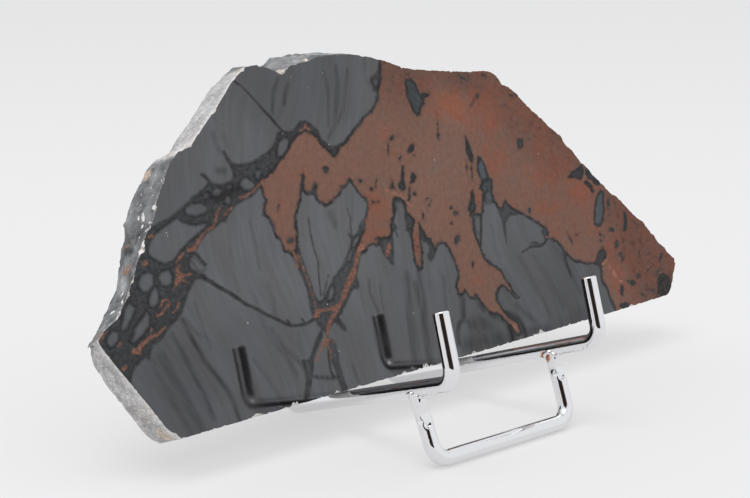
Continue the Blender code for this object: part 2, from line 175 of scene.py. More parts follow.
# Small dark spots in the mahogany: along, up, half length, half width, turn in degrees
SPOTS = [
    (46.9, 38.2, 0.9, 0.7, 0), (45.3, 31.3, 1.5, 0.8, 45), (45.5, 39.9, 0.5, 0.4, 0),
    (30.3, 60.8, 1.2, 0.5, 20), (19.7, 48.5, 0.7, 0.5, 0), (19.4, 45, 0.6, 0.4, 0),
    (20.9, 44.9, 0.4, 0.3, 0), (16.7, 51, 0.9, 0.5, -40), (6.5, 55.3, 1.1, 0.9, 20), (-9, 39.3, 1, 0.7, 0),
    (35.1, 39, 0.9, 0.4, 80), (38.1, 41.8, 0.9, 0.3, 45), (33.8, 45.3, 0.6, 0.5, 0),
    (76.7, 54.1, 1.6, 1.2, 45), (46.6, 59.7, 1, 0.5, 80), (47.2, 62.2, 1.2, 0.2, 78),
    (64, 68.7, 0.9, 0.5, 40), (60, 74.6, 1.2, 0.4, -30), (68, 74.5, 0.8, 0.4, 0), (49, 23.8, 1, 0.4, 80),
    (44.6, 35.6, 0.5, 0.4, 0), (74.7, 35, 0.7, 0.5, 45), (28.2, 58, 1, 0.3, 75),
    (106.4, 24.7, 1.2, 0.8, -20), (107.2, 20.2, 1.3, 0.8, 60), (107.9, 17, 0.8, 0.7, 0),
    (108.6, 15.6, 1.1, 0.6, 50), (107.5, 32.4, 1.4, 0.6, 70), (101.5, 23.9, 0.8, 0.4, -40),
    (100.8, 22.3, 0.6, 0.4, 0), (105.3, 6.6, 1.6, 0.8, 75), (113.6, 9.6, 0.9, 0.6, 45),
    (119, 4.1, 1.2, 0.5, -30), (114, 3.8, 0.8, 0.3, -20), (125.6, 13.4, 1.3, 0.6, 50),
    (122.4, 9, 1.1, 0.3, 30), (88.4, 24.8, 1, 0.3, -70), (91.4, 25.4, 0.7, 0.3, 0),
    (21.6, 49.6, 0.7, 0.2, 60), (54.6, 50.4, 0.9, 0.3, 80), (56, 48.6, 1.4, 0.3, 80),
    (59.2, 43.8, 0.9, 0.6, 0), (62, 67.2, 0.8, 0.2, 40), (77.2, 68, 0.9, 0.4, -30),
    (80, 67.3, 0.9, 0.3, -40), (37.8, 43.4, 0.5, 0.2, 30), (10.4, 50.4, 0.5, 0.4, 0),
    (-10.4, 48, 0.6, 0.3, 60), (17.8, 35.6, 0.6, 0.5, 0), (52, 37, 0.8, 0.5, 60),
    (31.6, 55.4, 0.8, 0.4, 60), (31.3, 31.4, 0.4, 0.3, 0), (116.4, 16.2, 0.7, 0.2, 45),
    (118.4, 10.6, 0.6, 0.2, 20), (110.4, 20.6, 0.4, 0.3, 0), (117.4, 25.2, 0.9, 0.3, -40),
]

# The dark network: the junctions and the shattered band, each with how dusky it is, and the grey
# pieces in it, each with its brightness
NETWORK = [
    (0.53, [(-52, 47.4), (-49, 47.6), (-47.4, 48.2), (-46, 48.6), (-44, 49.2), (-42, 49.6), (-40.4, 50.4),
     (-38.8, 51.2), (-37, 52), (-35.6, 52.8), (-34.6, 53.8), (-33, 54.2), (-31.4, 55), (-30, 55.8),
     (-29.1, 56.6), (-29.8, 57.6), (-30.9, 58.6), (-30.2, 59), (-29.2, 58.3), (-28.6, 57.3), (-27.6, 56.2),
     (-26, 55.7), (-24, 55.7), (-22.6, 56.1), (-21.8, 57), (-21.5, 58), (-21.9, 59.4), (-22.6, 61),
     (-23.1, 62.4), (-23.4, 63.4), (-22.5, 63.3), (-22, 62), (-21.2, 60.6), (-20, 59.9), (-18.6, 59.8),
     (-16, 59.8), (-14.6, 60.2), (-13, 60.8), (-11, 61.5), (-9.4, 62.2), (-8.2, 63.2), (-7, 64.4),
     (-6.2, 66), (-4.4, 66.7), (-2.6, 66), (-1, 66.2), (0.2, 67.2), (1.8, 68.4), (3.6, 68.1), (5.4, 66.9),
     (6.8, 65.2), (7.2, 63), (8.8, 61.7), (10, 60.8), (11.6, 61), (13.4, 61.2), (13, 59), (10, 57), (4, 63),
     (0, 63), (-5, 59), (-10, 55.5), (-14, 53.5), (-16, 52.3), (-18, 51.3), (-20, 50.9), (-22, 50.3),
     (-24, 49.1), (-25.4, 48.1), (-26.4, 46.6), (-28, 46.5), (-29.4, 45.8), (-31, 45.2), (-32.6, 44.5),
     (-34, 43.6), (-35, 42.6), (-36, 41.5), (-36.8, 41), (-38, 39.8), (-38.8, 38.4), (-38.8, 37.2),
     (-37.4, 36.3), (-35.9, 35.5), (-34.8, 34.3), (-35.6, 33.6), (-36.8, 34.4), (-38.2, 34.4),
     (-39.6, 33.2), (-41, 31.6), (-42.5, 29.4), (-43.6, 27.7), (-45.2, 26.3), (-47, 25.4), (-48.6, 24.2),
     (-50, 22.9), (-51.2, 22.2), (-53, 21.8), (-54, 20.2), (-54.8, 18.6), (-55.8, 19.4), (-57, 18.8),
     (-58.2, 18), (-59.5, 17), (-60.2, 15.6), (-60.9, 13.4), (-66, 18), (-70, 26), (-62, 33), (-57, 39),
     (-54, 44)]),
    (0.45, [(27, 76.2), (27.4, 77.4), (28.6, 77.9), (30, 78.6), (31, 80.4), (32.4, 81), (31.4, 76),
     (29.4, 73.2), (28.4, 73.4), (27.2, 73.9), (27.6, 74.8)]),
    (0.42, [(57, 39), (57.6, 40), (59.2, 39.9), (60.6, 39.5), (61.8, 38.8), (62.6, 37), (63.1, 34),
     (63, 31), (63.1, 27), (63.7, 29.6), (64.3, 32.6), (65.4, 33.9), (67.2, 34.7), (69.4, 34.4), (72, 37),
     (64, 46), (58, 46)]),
    (0.48, [(77.4, 28.4), (78.6, 29.6), (80.6, 28.6), (81, 27.2), (79.6, 26.8), (78.4, 26.2)]),
    (0.48, [(98, 14.6), (96.8, 15.8), (97.6, 18), (99, 19.6), (102.4, 20.6), (102.6, 16.6), (99.6, 15)]),
    (0.48, [(17.6, 34.6), (18.6, 33.4), (19, 31.6), (19.8, 30), (20.8, 28.6), (21.7, 28), (22, 29.6),
     (22.8, 32), (23.2, 34.2), (23.6, 36), (22, 36.6), (20, 36.4), (18.6, 36.8)]),
    (0.48, [(23, 36), (24.2, 36.6), (25.6, 37.2), (25.2, 38.4), (24.2, 39.2), (25.6, 40.6), (26.2, 41.4),
     (26.9, 42.4), (26.8, 43.8), (28.4, 43.8), (29, 43.2), (29.2, 42), (28.8, 40), (28.6, 37.6),
     (28.2, 36.2), (29, 35.8), (33, 38), (33, 46), (24, 46), (22.4, 38)]),
    (0.48, [(33, 38), (32.6, 35), (32.1, 32), (31.6, 29), (31, 26.2), (30.2, 24.9), (29.2, 25.1),
     (28.9, 27), (29.1, 29.6), (29.2, 32.4), (29, 35), (28.8, 36.4), (31, 40)]),
    (0.48, [(33.4, 38), (32.8, 33.6), (33.4, 32.2), (34.4, 32.3), (34.9, 30.8), (34.6, 29.4), (33.8, 28.8),
     (33.6, 27.6), (34.6, 27), (35.8, 27.6), (36.4, 28.4), (37.4, 29.6), (37, 33), (35, 38)]),
    (0.48, [(-11.6, 37.6), (-10.2, 36.4), (-9.4, 35), (-8.8, 33), (-8, 30), (-7.4, 27), (-7.4, 24),
     (-7.6, 21.4), (-7.2, 19.4), (-6.2, 17.4), (-4.6, 15.4), (-4, 13.8), (-3.4, 15.2), (-2.4, 16.6),
     (-1.2, 17.2), (0.2, 16), (1.2, 14.6), (1.9, 14.4), (2.2, 15.2), (1.2, 17), (0.6, 18.4), (1.9, 18.9),
     (2.6, 20), (4.6, 21.8), (6.4, 23.9), (7.6, 24.3), (8.2, 23.9), (9.1, 24.6), (9, 25.8), (9, 27.2),
     (9.8, 29), (11, 31.2), (12, 32.4), (13.8, 33), (14, 38), (15, 41.4), (13.2, 39.8), (12, 38),
     (10.6, 37.4), (9.2, 38.4), (9.6, 36.6), (8.2, 34.2), (6, 31.6), (4, 29.8), (1.6, 28.2), (0, 26.6),
     (-1.4, 25.2), (-2.8, 23.8), (-3.4, 23.4), (-4.6, 23.2), (-5.4, 26), (-5.8, 30), (-6.3, 33), (-6.7, 36),
     (-7, 38.6), (-9, 38.6)]),
    (0.46, [(-13.3, 10.2), (-11.4, 9.8), (-10.2, 10.8), (-9, 12.6), (-8, 14), (-6.6, 15.4), (-5, 16.6),
     (-5.6, 14.6), (-7.2, 12.6), (-8.8, 10.8), (-9.8, 9.4), (-10.4, 7.2), (-11.4, 5), (-12.4, 3.2),
     (-13, 1.6), (-14.4, -0.6), (-15.4, -0.4), (-14.4, 2.6), (-13.4, 5), (-13.3, 8)]),
    (0.4, [(-4.4, 13.6), (-3.2, 13.6), (-2.2, 12.4), (-1.9, 9.8), (-2.3, 7), (-2, 4), (-1.4, -0.6),
     (-3.2, -0.6), (-3.8, 3.4), (-4.2, 6.4), (-4.9, 9), (-4.9, 11.4)]),
]
GREY_PIECES = [
    (1.06, [(-49, 43.4), (-48, 45), (-46.4, 46.4), (-44.6, 47.4), (-42.6, 48.2), (-40.6, 49), (-39.6, 49.3),
     (-38.8, 48.4), (-37, 47.4), (-35, 46.9), (-33.2, 47), (-31.8, 46.9), (-33, 45.9), (-35, 45), (-37, 44),
     (-38.8, 43), (-40.6, 41.8), (-42.2, 40.5), (-43.6, 39.7), (-45.4, 39.5), (-47, 40.3), (-48.4, 41.4),
     (-49.2, 42.4)]),
    (1, [(-53, 36.8), (-52, 38), (-50, 38.2), (-49.1, 37.4), (-49.6, 35.2), (-51.4, 33.9), (-52.6, 34),
     (-53.4, 35.4)]),
    (1, [(-48, 36.8), (-46.6, 37.8), (-44.8, 37.8), (-44.3, 36.4), (-44.7, 34.8), (-46.2, 34.2),
     (-47.6, 35)]),
    (1, [(-49.2, 34.6), (-48.7, 33), (-49.4, 30.9), (-50.6, 30.1), (-51.9, 30.6), (-51.4, 32.4),
     (-50.4, 33.8)]),
    (1, [(-56.8, 32.2), (-55.5, 30.9), (-57, 28.8), (-59, 26.6), (-60.2, 26.3), (-59.9, 27.6),
     (-58.8, 29.6), (-57.9, 31.3)]),
    (1, [(-57.6, 24.4), (-56.8, 26.2), (-54.6, 28), (-52.8, 29.4), (-52.3, 28.4), (-53, 26.2),
     (-55.4, 24.3), (-57.6, 23.3), (-58.6, 23.9)]),
    (1, [(-64.4, 24.6), (-63.8, 26), (-62.2, 26.9), (-61.1, 26.3), (-61.3, 24.7), (-62.6, 23.7),
     (-63.9, 23.5)]),
    (0.92, [(-37.3, 50.6), (-36.4, 51.6), (-34.6, 52.1), (-32.4, 51.9), (-31.1, 51), (-30.9, 49.9),
     (-32, 49.4), (-34.4, 49.2), (-36.4, 49.7)]),
    (1.12, [(-20.4, 54.8), (-19.6, 55.8), (-18, 56.2), (-16.6, 55), (-16, 53.8), (-17.6, 53.2),
     (-19.4, 53.4)]),
    (1.1, [(-7.4, 60.2), (-7, 62), (-6, 63.8), (-4.4, 64.6), (-3, 64.2), (-3.2, 62.8), (-4.4, 61.2),
     (-5.8, 60.2)]),
    (0.8, [(28, 75.4), (28.2, 76.6), (29.4, 76.9), (30, 75.9), (29.2, 74.9)]),
    (1, [(-38.4, 39.4), (-37.6, 39.8), (-36.6, 38.8), (-35.4, 37.3), (-35, 36.4), (-36, 36.2),
     (-37.2, 37)]),
    (1, [(53, 34.6), (53.6, 36), (54.8, 36.2), (55.2, 35.2), (54.6, 33), (54, 31.4), (53.2, 31.6),
     (52.8, 33)]),
    (1, [(-1.6, 23.2), (-0.9, 24.8), (0.2, 26), (0.9, 25.8), (0.6, 24.2), (-0.4, 23), (-1.2, 22.8)]),
    (1, [(7.2, 31.7), (7.7, 33), (8.8, 33.9), (9.2, 33.3), (8.2, 32), (7.7, 31.3)]),
    (1, [(9.6, 35), (10.6, 36.3), (12, 37.2), (12.6, 36.8), (11.6, 35.6), (10.4, 34.8)]),
    (1, [(-28.8, 53.4), (-28.2, 54.6), (-26.8, 54.9), (-25.8, 54), (-26.6, 53), (-27.8, 52.8)]),
    (1, [(-25.8, 51.2), (-25.2, 52.6), (-24, 52.6), (-23.6, 51.4), (-24.6, 50.6)]),
]

# Small lighter pieces in it, without a dark lining
SOFT_PIECES = [
    (0.86, [(-31.2, 53), (-30.8, 54), (-29.8, 54), (-29.8, 53)]),
    (0.82, [(-24.4, 54.2), (-23.8, 55.2), (-22.6, 55.2), (-22.8, 54.2)]),
    (0.8, [(-15.6, 55.8), (-15, 57.2), (-13.6, 57.6), (-13.4, 56.6), (-14.6, 55.6)]),
    (0.8, [(58.6, 39.6), (59.2, 41.6), (60.4, 42.6), (61.4, 41.8), (61.6, 40), (60.4, 39.2)]),
]

# Dark strokes: half width, then the points they run through
STROKES = [
    (0.52, [(-36.4, 34.9), (-34, 33), (-32, 31.4), (-30, 30), (-28, 28.3)]),
    (0.42, [(-28, 28.3), (-26, 26.4), (-23, 24.6), (-20.5, 22.7), (-18, 21.2), (-16, 19.8), (-14.4, 19)]),
    (0.39, [(-15, 20.2), (-14.4, 18.9), (-12, 18.5), (-9.6, 18.5), (-7.6, 19), (-6, 19.4)]),
    (0.28, [(-10.6, 19.8), (-10, 18.8)]),
    (0.27, [(-15.8, 80.3), (-13.6, 78.4), (-12, 76.6), (-10, 74), (-8.6, 72)]),
    (0.42, [(-8.6, 72), (-7, 70), (-5.6, 68), (-4.4, 66.4)]),
    (0.45, [(-38.6, 40.9), (-37.2, 40.7), (-36.2, 39.8), (-35.3, 38.3), (-34.7, 37.5)]),
    (0.42, [(55.9, 36.8), (55.3, 34), (54.4, 31.4), (53.7, 29.4), (53, 27.4)]),
    (0.35, [(57.6, 16.9), (59, 15.8), (60.4, 14.2), (61.4, 12.8), (62.6, 11.8), (63.4, 12.1)]),
    (0.35, [(61.2, 14.4), (62.2, 13.4), (62.8, 12.4)]),
    (0.24, [(68.2, 24), (70, 24.3), (72, 25)]),
    (0.42, [(72, 25), (74, 24.8), (76, 24.6), (78, 25.3), (79.4, 26.4), (81, 26)]),
    (0.28, [(72.6, 26), (74.4, 25.8), (75.4, 25.2)]),
    (0.39, [(84.8, 23.6), (85, 20.4), (84.9, 18), (85.2, 15.6), (85.5, 14.2)]),
    (0.28, [(84.2, 23), (84.4, 20), (84.8, 17)]),
    (0.21, [(-2.2, 44), (-2.6, 40), (-2.5, 36), (-2.1, 33), (-2.9, 29), (-3.5, 24.4)]),
    (0.15, [(10.6, 44.6), (10.9, 42), (10.4, 40), (10.2, 38)]),
    (0.35, [(-4.9, 10.4), (-5.3, 8), (-5.4, 5.6), (-4.8, 4.2)]),
    (0.32, [(44.4, 18.2), (44.8, 16.4), (46, 14.8), (47.4, 14.6), (48.6, 14.4), (49.6, 12.8),
     (50.6, 10.8)]),
    (0.42, [(98.4, 14.6), (98, 12.6), (97.6, 10.8)]),
    (0.42, [(99, 8.6), (99.4, 6.4), (99.6, 4.2), (100.4, 2)]),
    (0.17, [(0.2, 29), (-2.6, 24.4)]),
    (0.21, [(24, 37.4), (24.8, 36.2), (25, 35)]),
]

# Faint dark streaks in the grey: strength, half width, points
STREAKS = [
    (0.44, 0.98, [(-47.6, 23), (-45.8, 19), (-44.6, 14), (-42.6, 8), (-41.2, 2)]),
    (0.6, 0.84, [(-44, 26), (-42.2, 20), (-40.6, 15.6), (-38.2, 11.6), (-36.2, 8), (-35, 4), (-34.4, -1)]),
    (0.4, 1.54, [(-51.4, 19), (-49.8, 14), (-47.6, 8), (-45.8, 3), (-44.6, -1)]),
    (0.35, 1.5, [(-54, 18), (-52.4, 12), (-50, 6), (-48, 0)]),
    (0.32, 0.56, [(-39.8, 29), (-38.8, 22), (-38.2, 18)]),
    (0.32, 0.7, [(-43, 25.6), (-41, 22.4), (-39.6, 21)]),
    (0.28, 0.84, [(-27, 13), (-25, 9), (-23, 5), (-21.6, 1)]),
    (0.28, 1.12, [(-22.6, 24), (-21.4, 18), (-18, 12), (-15.6, 7)]),
    (0.36, 1.12, [(-20, 19), (-17.4, 14), (-14.8, 10.6), (-13, 8.6)]),
    (0.24, 0.7, [(-23, 28), (-22.6, 24)]),
    (0.28, 0.98, [(-18.2, 30), (-17.8, 26), (-18.4, 22)]),
    (0.28, 0.7, [(-19.8, 46), (-19.4, 40), (-19.8, 34)]),
    (0.2, 0.84, [(-27, 40), (-27.4, 34), (-27, 30)]),
    (0.2, 0.7, [(-23.4, 48), (-23, 40), (-23.6, 33)]),
    (0.4, 0.7, [(12.6, 25.6), (12, 22.4), (12.6, 19.6), (13.4, 17.4)]),
    (0.32, 0.56, [(15.6, 23.6), (15, 19.4), (15.2, 17.6)]),
    (0.4, 1.54, [(25.4, 25), (24.6, 20), (23.2, 14), (22.4, 9), (21.8, 3)]),
    (0.44, 1.12, [(29.4, 24.6), (29.2, 19), (28.4, 13), (27.4, 8), (26.8, 2)]),
    (0.32, 1.12, [(37.4, 22), (36.6, 18), (36.2, 14), (37, 9)]),
    (0.44, 0.84, [(17, 81), (16, 76), (14.2, 71), (12, 66), (9.6, 63)]),
    (0.4, 0.7, [(12.6, 80), (12.6, 75), (11.4, 70), (10.4, 66)]),
    (0.36, 0.84, [(20.4, 80), (18.4, 75), (16.4, 70), (13.4, 66.6)]),
    (0.44, 0.7, [(-2.4, 79.4), (-4.6, 76.4), (-5.6, 73.6), (-6, 71)]),
    (0.48, 0.7, [(0.4, 78), (-0.8, 76), (-1.6, 74.4), (-2, 73)]),
    (0.28, 1.12, [(26.6, 82), (25.8, 78), (26.4, 75)]),
    (0.36, 1.12, [(-24.8, 68), (-24.6, 65.6), (-24, 63.4)]),
    (0.28, 0.98, [(-21.8, 67), (-21.6, 64.4)]),
    (0.48, 1.12, [(-25.6, 58.9), (-24, 58.7)]),
    (0.24, 1.12, [(59, 33), (58.6, 29), (59.6, 24)]),
    (0.32, 1.26, [(80.6, 25), (83.4, 20), (85.6, 15), (88, 9)]),
    (0.24, 1.4, [(72.6, 23), (74.8, 18), (77.8, 12), (80, 6)]),
    (0.3, 1.2, [(67, 23), (69.6, 16), (72.6, 9), (75, 2)]),
    (0.4, 1.2, [(62, 10), (65, 7), (68, 4)]),
    (0.5, 3, [(41, 3), (46, 3), (52, 2.6), (58, 1)]),
    (0.45, 2.4, [(44, 8), (47, 8), (50, 6)]),
    (0.3, 4, [(68, 0), (78, 1), (88, 2)]),
    (0.5, 1.6, [(-29, 53), (-25, 52.6), (-20, 54)]),
    (0.44, 1.4, [(5, 44), (5.4, 41)]),
    (0.28, 0.7, [(13.2, 48), (12, 43), (9, 38)]),
    (0.24, 0.98, [(-12.4, 17), (-13, 14), (-12.6, 11)]),
    (0.64, 0.7, [(-10.6, 5.4), (-8, 4.6), (-5.8, 4), (-3.6, 3.8)]),
    (0.64, 0.98, [(38.2, 4), (38.4, 7), (39.4, 9), (41, 9.8)]),
    (0.48, 0.84, [(41, 9.8), (42.8, 9), (44.6, 7.8), (46, 5.4), (46.8, 2.6)]),
    (0.72, 1.12, [(42.6, 17), (42.6, 15), (42.2, 13), (41.6, 10.6)]),
    (0.56, 0.98, [(47.8, 14.4), (48.2, 12.4), (49.4, 11)]),
    (0.48, 1.4, [(51.6, 9.4), (54, 8.4), (56, 7)]),
    (0.72, 1.26, [(57.4, 8.4), (59.4, 7.6), (61.4, 5.8), (62.6, 3.4), (63, 0)]),
    (0.8, 1.2, [(57.4, 5), (57.8, 2.6), (57.6, 0)]),
    (0.5, 1.6, [(64, 2), (68, 2.4), (72, 1.4)]),
    (0.5, 1.3, [(27.6, 22), (27.8, 14), (27.2, 6), (26.6, 0)]),
    (0.28, 0.7, [(36.6, 24), (36.8, 18), (36.4, 14)]),
    (0.36, 0.7, [(1.6, 5.6), (2, 2.6), (2.6, 0)]),
]

# Orange veins: half width, then points
VEINS = [
    (0.75, [(12.6, 34.4), (11.4, 33.4), (10.4, 32)]),
    (0.55, [(10.4, 32), (9.4, 30.4), (8.6, 29)]),
    (0.95, [(8.4, 28.6), (7, 27.2), (5.6, 25.8)]),
    (0.75, [(5.6, 25.8), (4.6, 24.4), (3.6, 23.2)]),
    (0.5, [(3.6, 23.2), (2.4, 22), (1.4, 21.2)]),
    (0.75, [(1.4, 21), (0.4, 20.4), (-0.4, 20.2)]),
    (0.4, [(0.4, 21), (-1.4, 20.7), (-3.4, 20.8), (-5, 20.9)]),
    (0.75, [(-5.4, 20.6), (-6.4, 19.9)]),
    (0.2, [(-5.6, 21.2), (-5.9, 22.8)]),
    (0.5, [(0.2, 19.8), (-1, 18.8), (-2.4, 17.6), (-3.4, 16.2), (-3.9, 15)]),
    (0.3, [(-3.9, 15), (-4.6, 13.9)]),
    (0.9, [(-4.9, 13.1), (-5.3, 12.8)]),
    (0.28, [(-5.6, 12.6), (-7, 11.3), (-8.4, 10), (-9.6, 9)]),
    (0.2, [(-4.5, 12.6), (-4.3, 10.6), (-4.6, 8.6)]),
    (0.22, [(-4.2, 13.6), (-3.2, 12.9), (-2.6, 12.3)]),
    (0.4, [(-8.7, 32.8), (-8.4, 34.4), (-8.8, 36)]),
    (0.2, [(-7.6, 35.4), (-7, 32), (-6.4, 29), (-6, 26), (-5.8, 24), (-5.7, 22.4)]),
    (0.7, [(20.4, 31.2), (21, 32.4), (21.7, 33.4)]),
    (0.5, [(99.4, 15.6), (100.4, 15.9), (101.4, 16.2)]),
    (0.6, [(-58.2, 21.4), (-57, 21), (-56.4, 22)]),
    (0.5, [(-56.4, 22), (-55, 22.9), (-53.4, 23.6)]),
    (0.3, [(-53.4, 23.6), (-51.6, 23.8), (-50.4, 24.4), (-49.2, 25)]),
    (0.22, [(-53.2, 23.8), (-52.5, 25.4)]),
    (0.35, [(-50.2, 28), (-48.8, 28.6), (-47.6, 29.6), (-46.8, 30)]),
    (0.25, [(-49, 30), (-48, 31.4), (-46.8, 31.2), (-46.4, 30.4)]),
    (0.2, [(-46, 28), (-45, 28.4), (-44.4, 29.4), (-43.9, 30.2)]),
    (0.5, [(-43.6, 34.4), (-42.7, 35.2), (-42.2, 36.4), (-42.5, 37.6)]),
    (0.3, [(-42.4, 37.4), (-41.8, 38.4)]),
    (0.32, [(-42.2, 35.8), (-40.6, 35.9), (-39.2, 36)]),
    (0.25, [(-42.2, 35.2), (-41.2, 34.6)]),
    (0.22, [(-44.6, 33.4), (-43.6, 34.4)]),
    (0.9, [(-42.7, 35.3), (-42.4, 36)]),
    (0.3, [(-42.2, 39.4), (-41.2, 40.2), (-40.2, 41)]),
    (0.5, [(-50.9, 40.2), (-50.3, 40.4)]),
    (0.4, [(-61.8, 18), (-61, 18.4)]),
    (0.2, [(-66.4, 24.6), (-65.4, 25.8), (-63.8, 27.2)]),
    (0.3, [(-61.8, 23.4), (-61.2, 23.8)]),
    (0.5, [(-38.4, 41.4), (-37, 41.5), (-36, 42.4), (-35, 43.4)]),
    (0.32, [(-35, 43.4), (-33.4, 44.7), (-32, 45.4)]),
    (0.3, [(-32, 45.4), (-30.6, 45.8), (-29.4, 46.7), (-29, 48), (-28.2, 49.2), (-27.5, 50)]),
    (0.22, [(-26.4, 48.2), (-25.2, 49), (-24, 49.6)]),
    (0.3, [(-21, 51.6), (-19.4, 51.8), (-18, 52.3), (-16.6, 52.9), (-14.8, 54), (-13.4, 54.9)]),
    (0.45, [(-47.8, 46.1), (-47.3, 46.3)]),
    (0.32, [(1.2, 65.9), (2.4, 66.2), (3.2, 67.2)]),
    (0.45, [(3.2, 66.6), (4, 65.9)]),
    (0.25, [(24.2, 47.8), (26, 46.7), (28, 46), (29.4, 45.3), (30.4, 43.9), (31.2, 42.9), (32.2, 42.3)]),
    (0.35, [(101.8, 14.8), (103, 13.2), (103.6, 12), (104.4, 10.4), (106, 8.9)]),
    (0.7, [(103.4, 12.2), (103.9, 11.4)]),
    (0.25, [(79, 26.9), (80, 26.5), (81, 26.3)]),
    (0.45, [(59, 4.8), (60.2, 3.6)]),
]

# Lighter and darker, redder and browner areas of the mahogany: along, up, reach, brightness, redness
AREAS = [
    (53, 67, 6, 0.3, 1), (56, 74, 3.6, -0.4, -0.1), (45, 76, 6, -0.28, 0.2), (61, 75, 3, -0.48, 0.05),
    (35, 79, 6, -0.3, 0.2), (67, 72, 5, -0.22, 0.95), (66, 65, 4, 0.06, 0.85), (74, 66, 5, -0.16, 0.85),
    (70, 57, 6, 0, 0.25), (78, 57, 5, -0.24, 0.15), (76, 62, 4, -0.26, 0.35), (63, 60, 4, 0.1, 0.65),
    (47, 52, 7, 0.1, -0.5), (50, 59, 5, 0.02, -0.6), (36, 44, 9, 0.16, -0.2), (24, 57, 7, 0.04, -0.3),
    (19, 46, 3, 0.12, 0.6), (28, 61.6, 2.6, 0.16, 0.7), (28.5, 55.4, 3, 0.1, 0.7), (0, 60, 7, 0.12, 0.1),
    (-9, 49, 6, 0.08, 0.05), (73, 46, 5, 0.02, -0.25), (67, 50, 4, 0.16, 0.85), (79, 44, 5, 0.1, 0.45),
    (86, 40, 7, 0, 0.65), (96, 35, 5, 0.06, 1.05), (85, 50, 6, -0.16, 0.95), (84, 60, 4, -0.26, 1.05),
    (90, 47, 5, -0.16, 0.95), (116, 22, 9, -0.36, 0.75), (117, 12, 8, -0.36, 0.75),
    (128, 10, 6, -0.34, 1.05), (106, 11, 4, 0.1, 0.95), (110, 32, 5, -0.34, 0.75),
    (104, 22, 4, -0.02, 0.75), (54, 17, 6, 0.02, 0), (48, 28, 6, 0.08, 0), (30, 33, 3, -0.05, 0.4),
    (12, 55, 6, 0.1, 0), (20, 40, 5, 0.08, 0.5), (92, 28, 6, -0.04, 0.15), (120, 4, 5, -0.42, 0.55),
    (57, 41, 2, 0.1, 0.5), (98, 50, 3.5, -0.36, 0.65), (77, 72, 3, -0.4, 0.65), (92, 56, 3, -0.42, 0.55),
]

# Brighter and duller areas of the grey sheen: along, up, reach, brightness
SHEEN_AREAS = [
    (5, 40, 9, 0.30), (6, 30, 7, 0.20), (35, 14, 9, -0.03), (35, 28, 6, 0.05), (-48, 12, 12, -0.26),
    (-28, 10, 12, -0.05), (-24, 38, 9, 0.16), (-26, 66, 7, 0.05), (-44, 54, 8, -0.06), (-5, 77, 9, -0.16),
    (12, 76, 8, -0.14), (24, 74, 5, 0.08), (12, 65, 5, 0.08), (70, 30, 6, 0), (84, 10, 10, -0.30),
    (60, 6, 10, -0.20), (90, 14, 6, -0.10), (-12, 30, 7, 0.26), (14, 12, 8, 0.04), (-16, 66, 6, 0.12),
    (0, 10, 5, -0.02), (-29, 59, 5, 0.10), (24, 10, 5, -0.14), (48, 5, 6, -0.22), (70, 15, 8, -0.04),
    (-40, 28, 6, 0.10), (-42, 44, 4, 0.12), (-32, 30, 6, 0.10), (59, 34, 4, 0.16), (57, 26, 4, 0.12),
    (0, 46, 4, 0.14), (13, 46, 4, 0.12), (26, 34, 5, 0.10), (10, 22, 5, 0.12),
]

# Pale flecks on the polish: along, up, size
FLECKS = [
    (43.4, 53.3, 0.28), (44, 50.8, 0.22), (83, 50.4, 0.28), (86.3, 46.8, 0.2), (-43.3, 46.4, 0.3),
    (-43.2, 45.7, 0.26), (-26.5, 21.9, 0.32), (-37.8, 24, 0.15), (-2.1, 22, 0.26), (-1.6, 10, 0.22),
    (24.8, 14.8, 0.26), (-4, 37.8, 0.15), (-16.5, 30.1, 0.14), (-35.2, 32.7, 0.2), (-39.7, 33.3, 0.12),
    (28.9, 63.6, 0.22), (-43.3, 8.4, 0.2), (12.2, 79.8, 0.24), (6.2, 76.4, 0.14), (-13, 77, 0.14),
    (9.2, 61.4, 0.24), (-4.4, 65.8, 0.2), (32.3, 50.7, 0.2), (-51.2, 6.2, 0.18), (61.4, 67.9, 0.12),
    (65.6, 15.2, 0.16), (-21.4, 70.8, 0.2), (1.8, 79.6, 0.16), (31.6, 55.8, 0.2), (35, 54.8, 0.2),
]

# Chips along the polished edge: along, up, reach, bite
CHIPS = [
    (-29.4, -0.4, 1.6, 1.05), (-17.7, -0.3, 1.5, 1), (-20.9, -0.3, 0.6, 0.32), (-4.5, 0, 0.9, 0.8),
    (-9.6, -0.1, 0.5, 0.24), (2.2, 0, 0.7, 0.56), (8.6, 0, 0.5, 0.24), (12, 0, 0.6, 0.32),
    (18.1, 0.1, 0.8, 0.88), (25.4, 0.2, 1.5, 0.96), (27.2, 0.2, 0.8, 0.56), (23, 0.2, 0.6, 0.4),
    (34.6, 0.2, 0.5, 0.24), (43, 0.3, 0.8, 0.72), (47.6, 0.3, 0.5, 0.32), (52.4, 0.3, 0.5, 0.24),
    (56, 0.4, 0.7, 0.32), (61, 0.4, 0.5, 0.24), (66.6, 0.4, 0.8, 0.48), (69.4, 0.5, 1.5, 0.95),
    (76.6, 0.6, 0.6, 0.32), (81.4, 0.7, 0.7, 0.4), (86.6, 0.8, 0.8, 0.48), (96, 0.9, 0.5, 0.24),
    (108.4, 1, 1.3, 0.64), (112, 1, 0.7, 0.32), (118, 1.1, 0.6, 0.24), (-22.7, 73.2, 1, 0.64),
    (-19.4, 75.8, 0.5, 0.24), (-14.8, 80.2, 0.6, 0.24), (-12.6, 82.4, 0.7, 0.32), (-0.2, 81.4, 1.7, 0.64),
    (-28.6, 68.4, 0.5, 0.24), (-50.3, 44, 1.5, 0.56), (-54.6, 37.2, 0.9, 0.32), (-56.6, 34, 1, 0.4),
    (-60.6, 29.6, 1.4, 0.56), (-47.2, 48.4, 0.8, 0.32), (-44.9, 52.6, 0.9, 0.4), (-41.2, 58, 0.7, 0.24),
    (-52.4, 0.8, 1.2, 0.32), (9, 83.8, 0.8, 0.32),
]

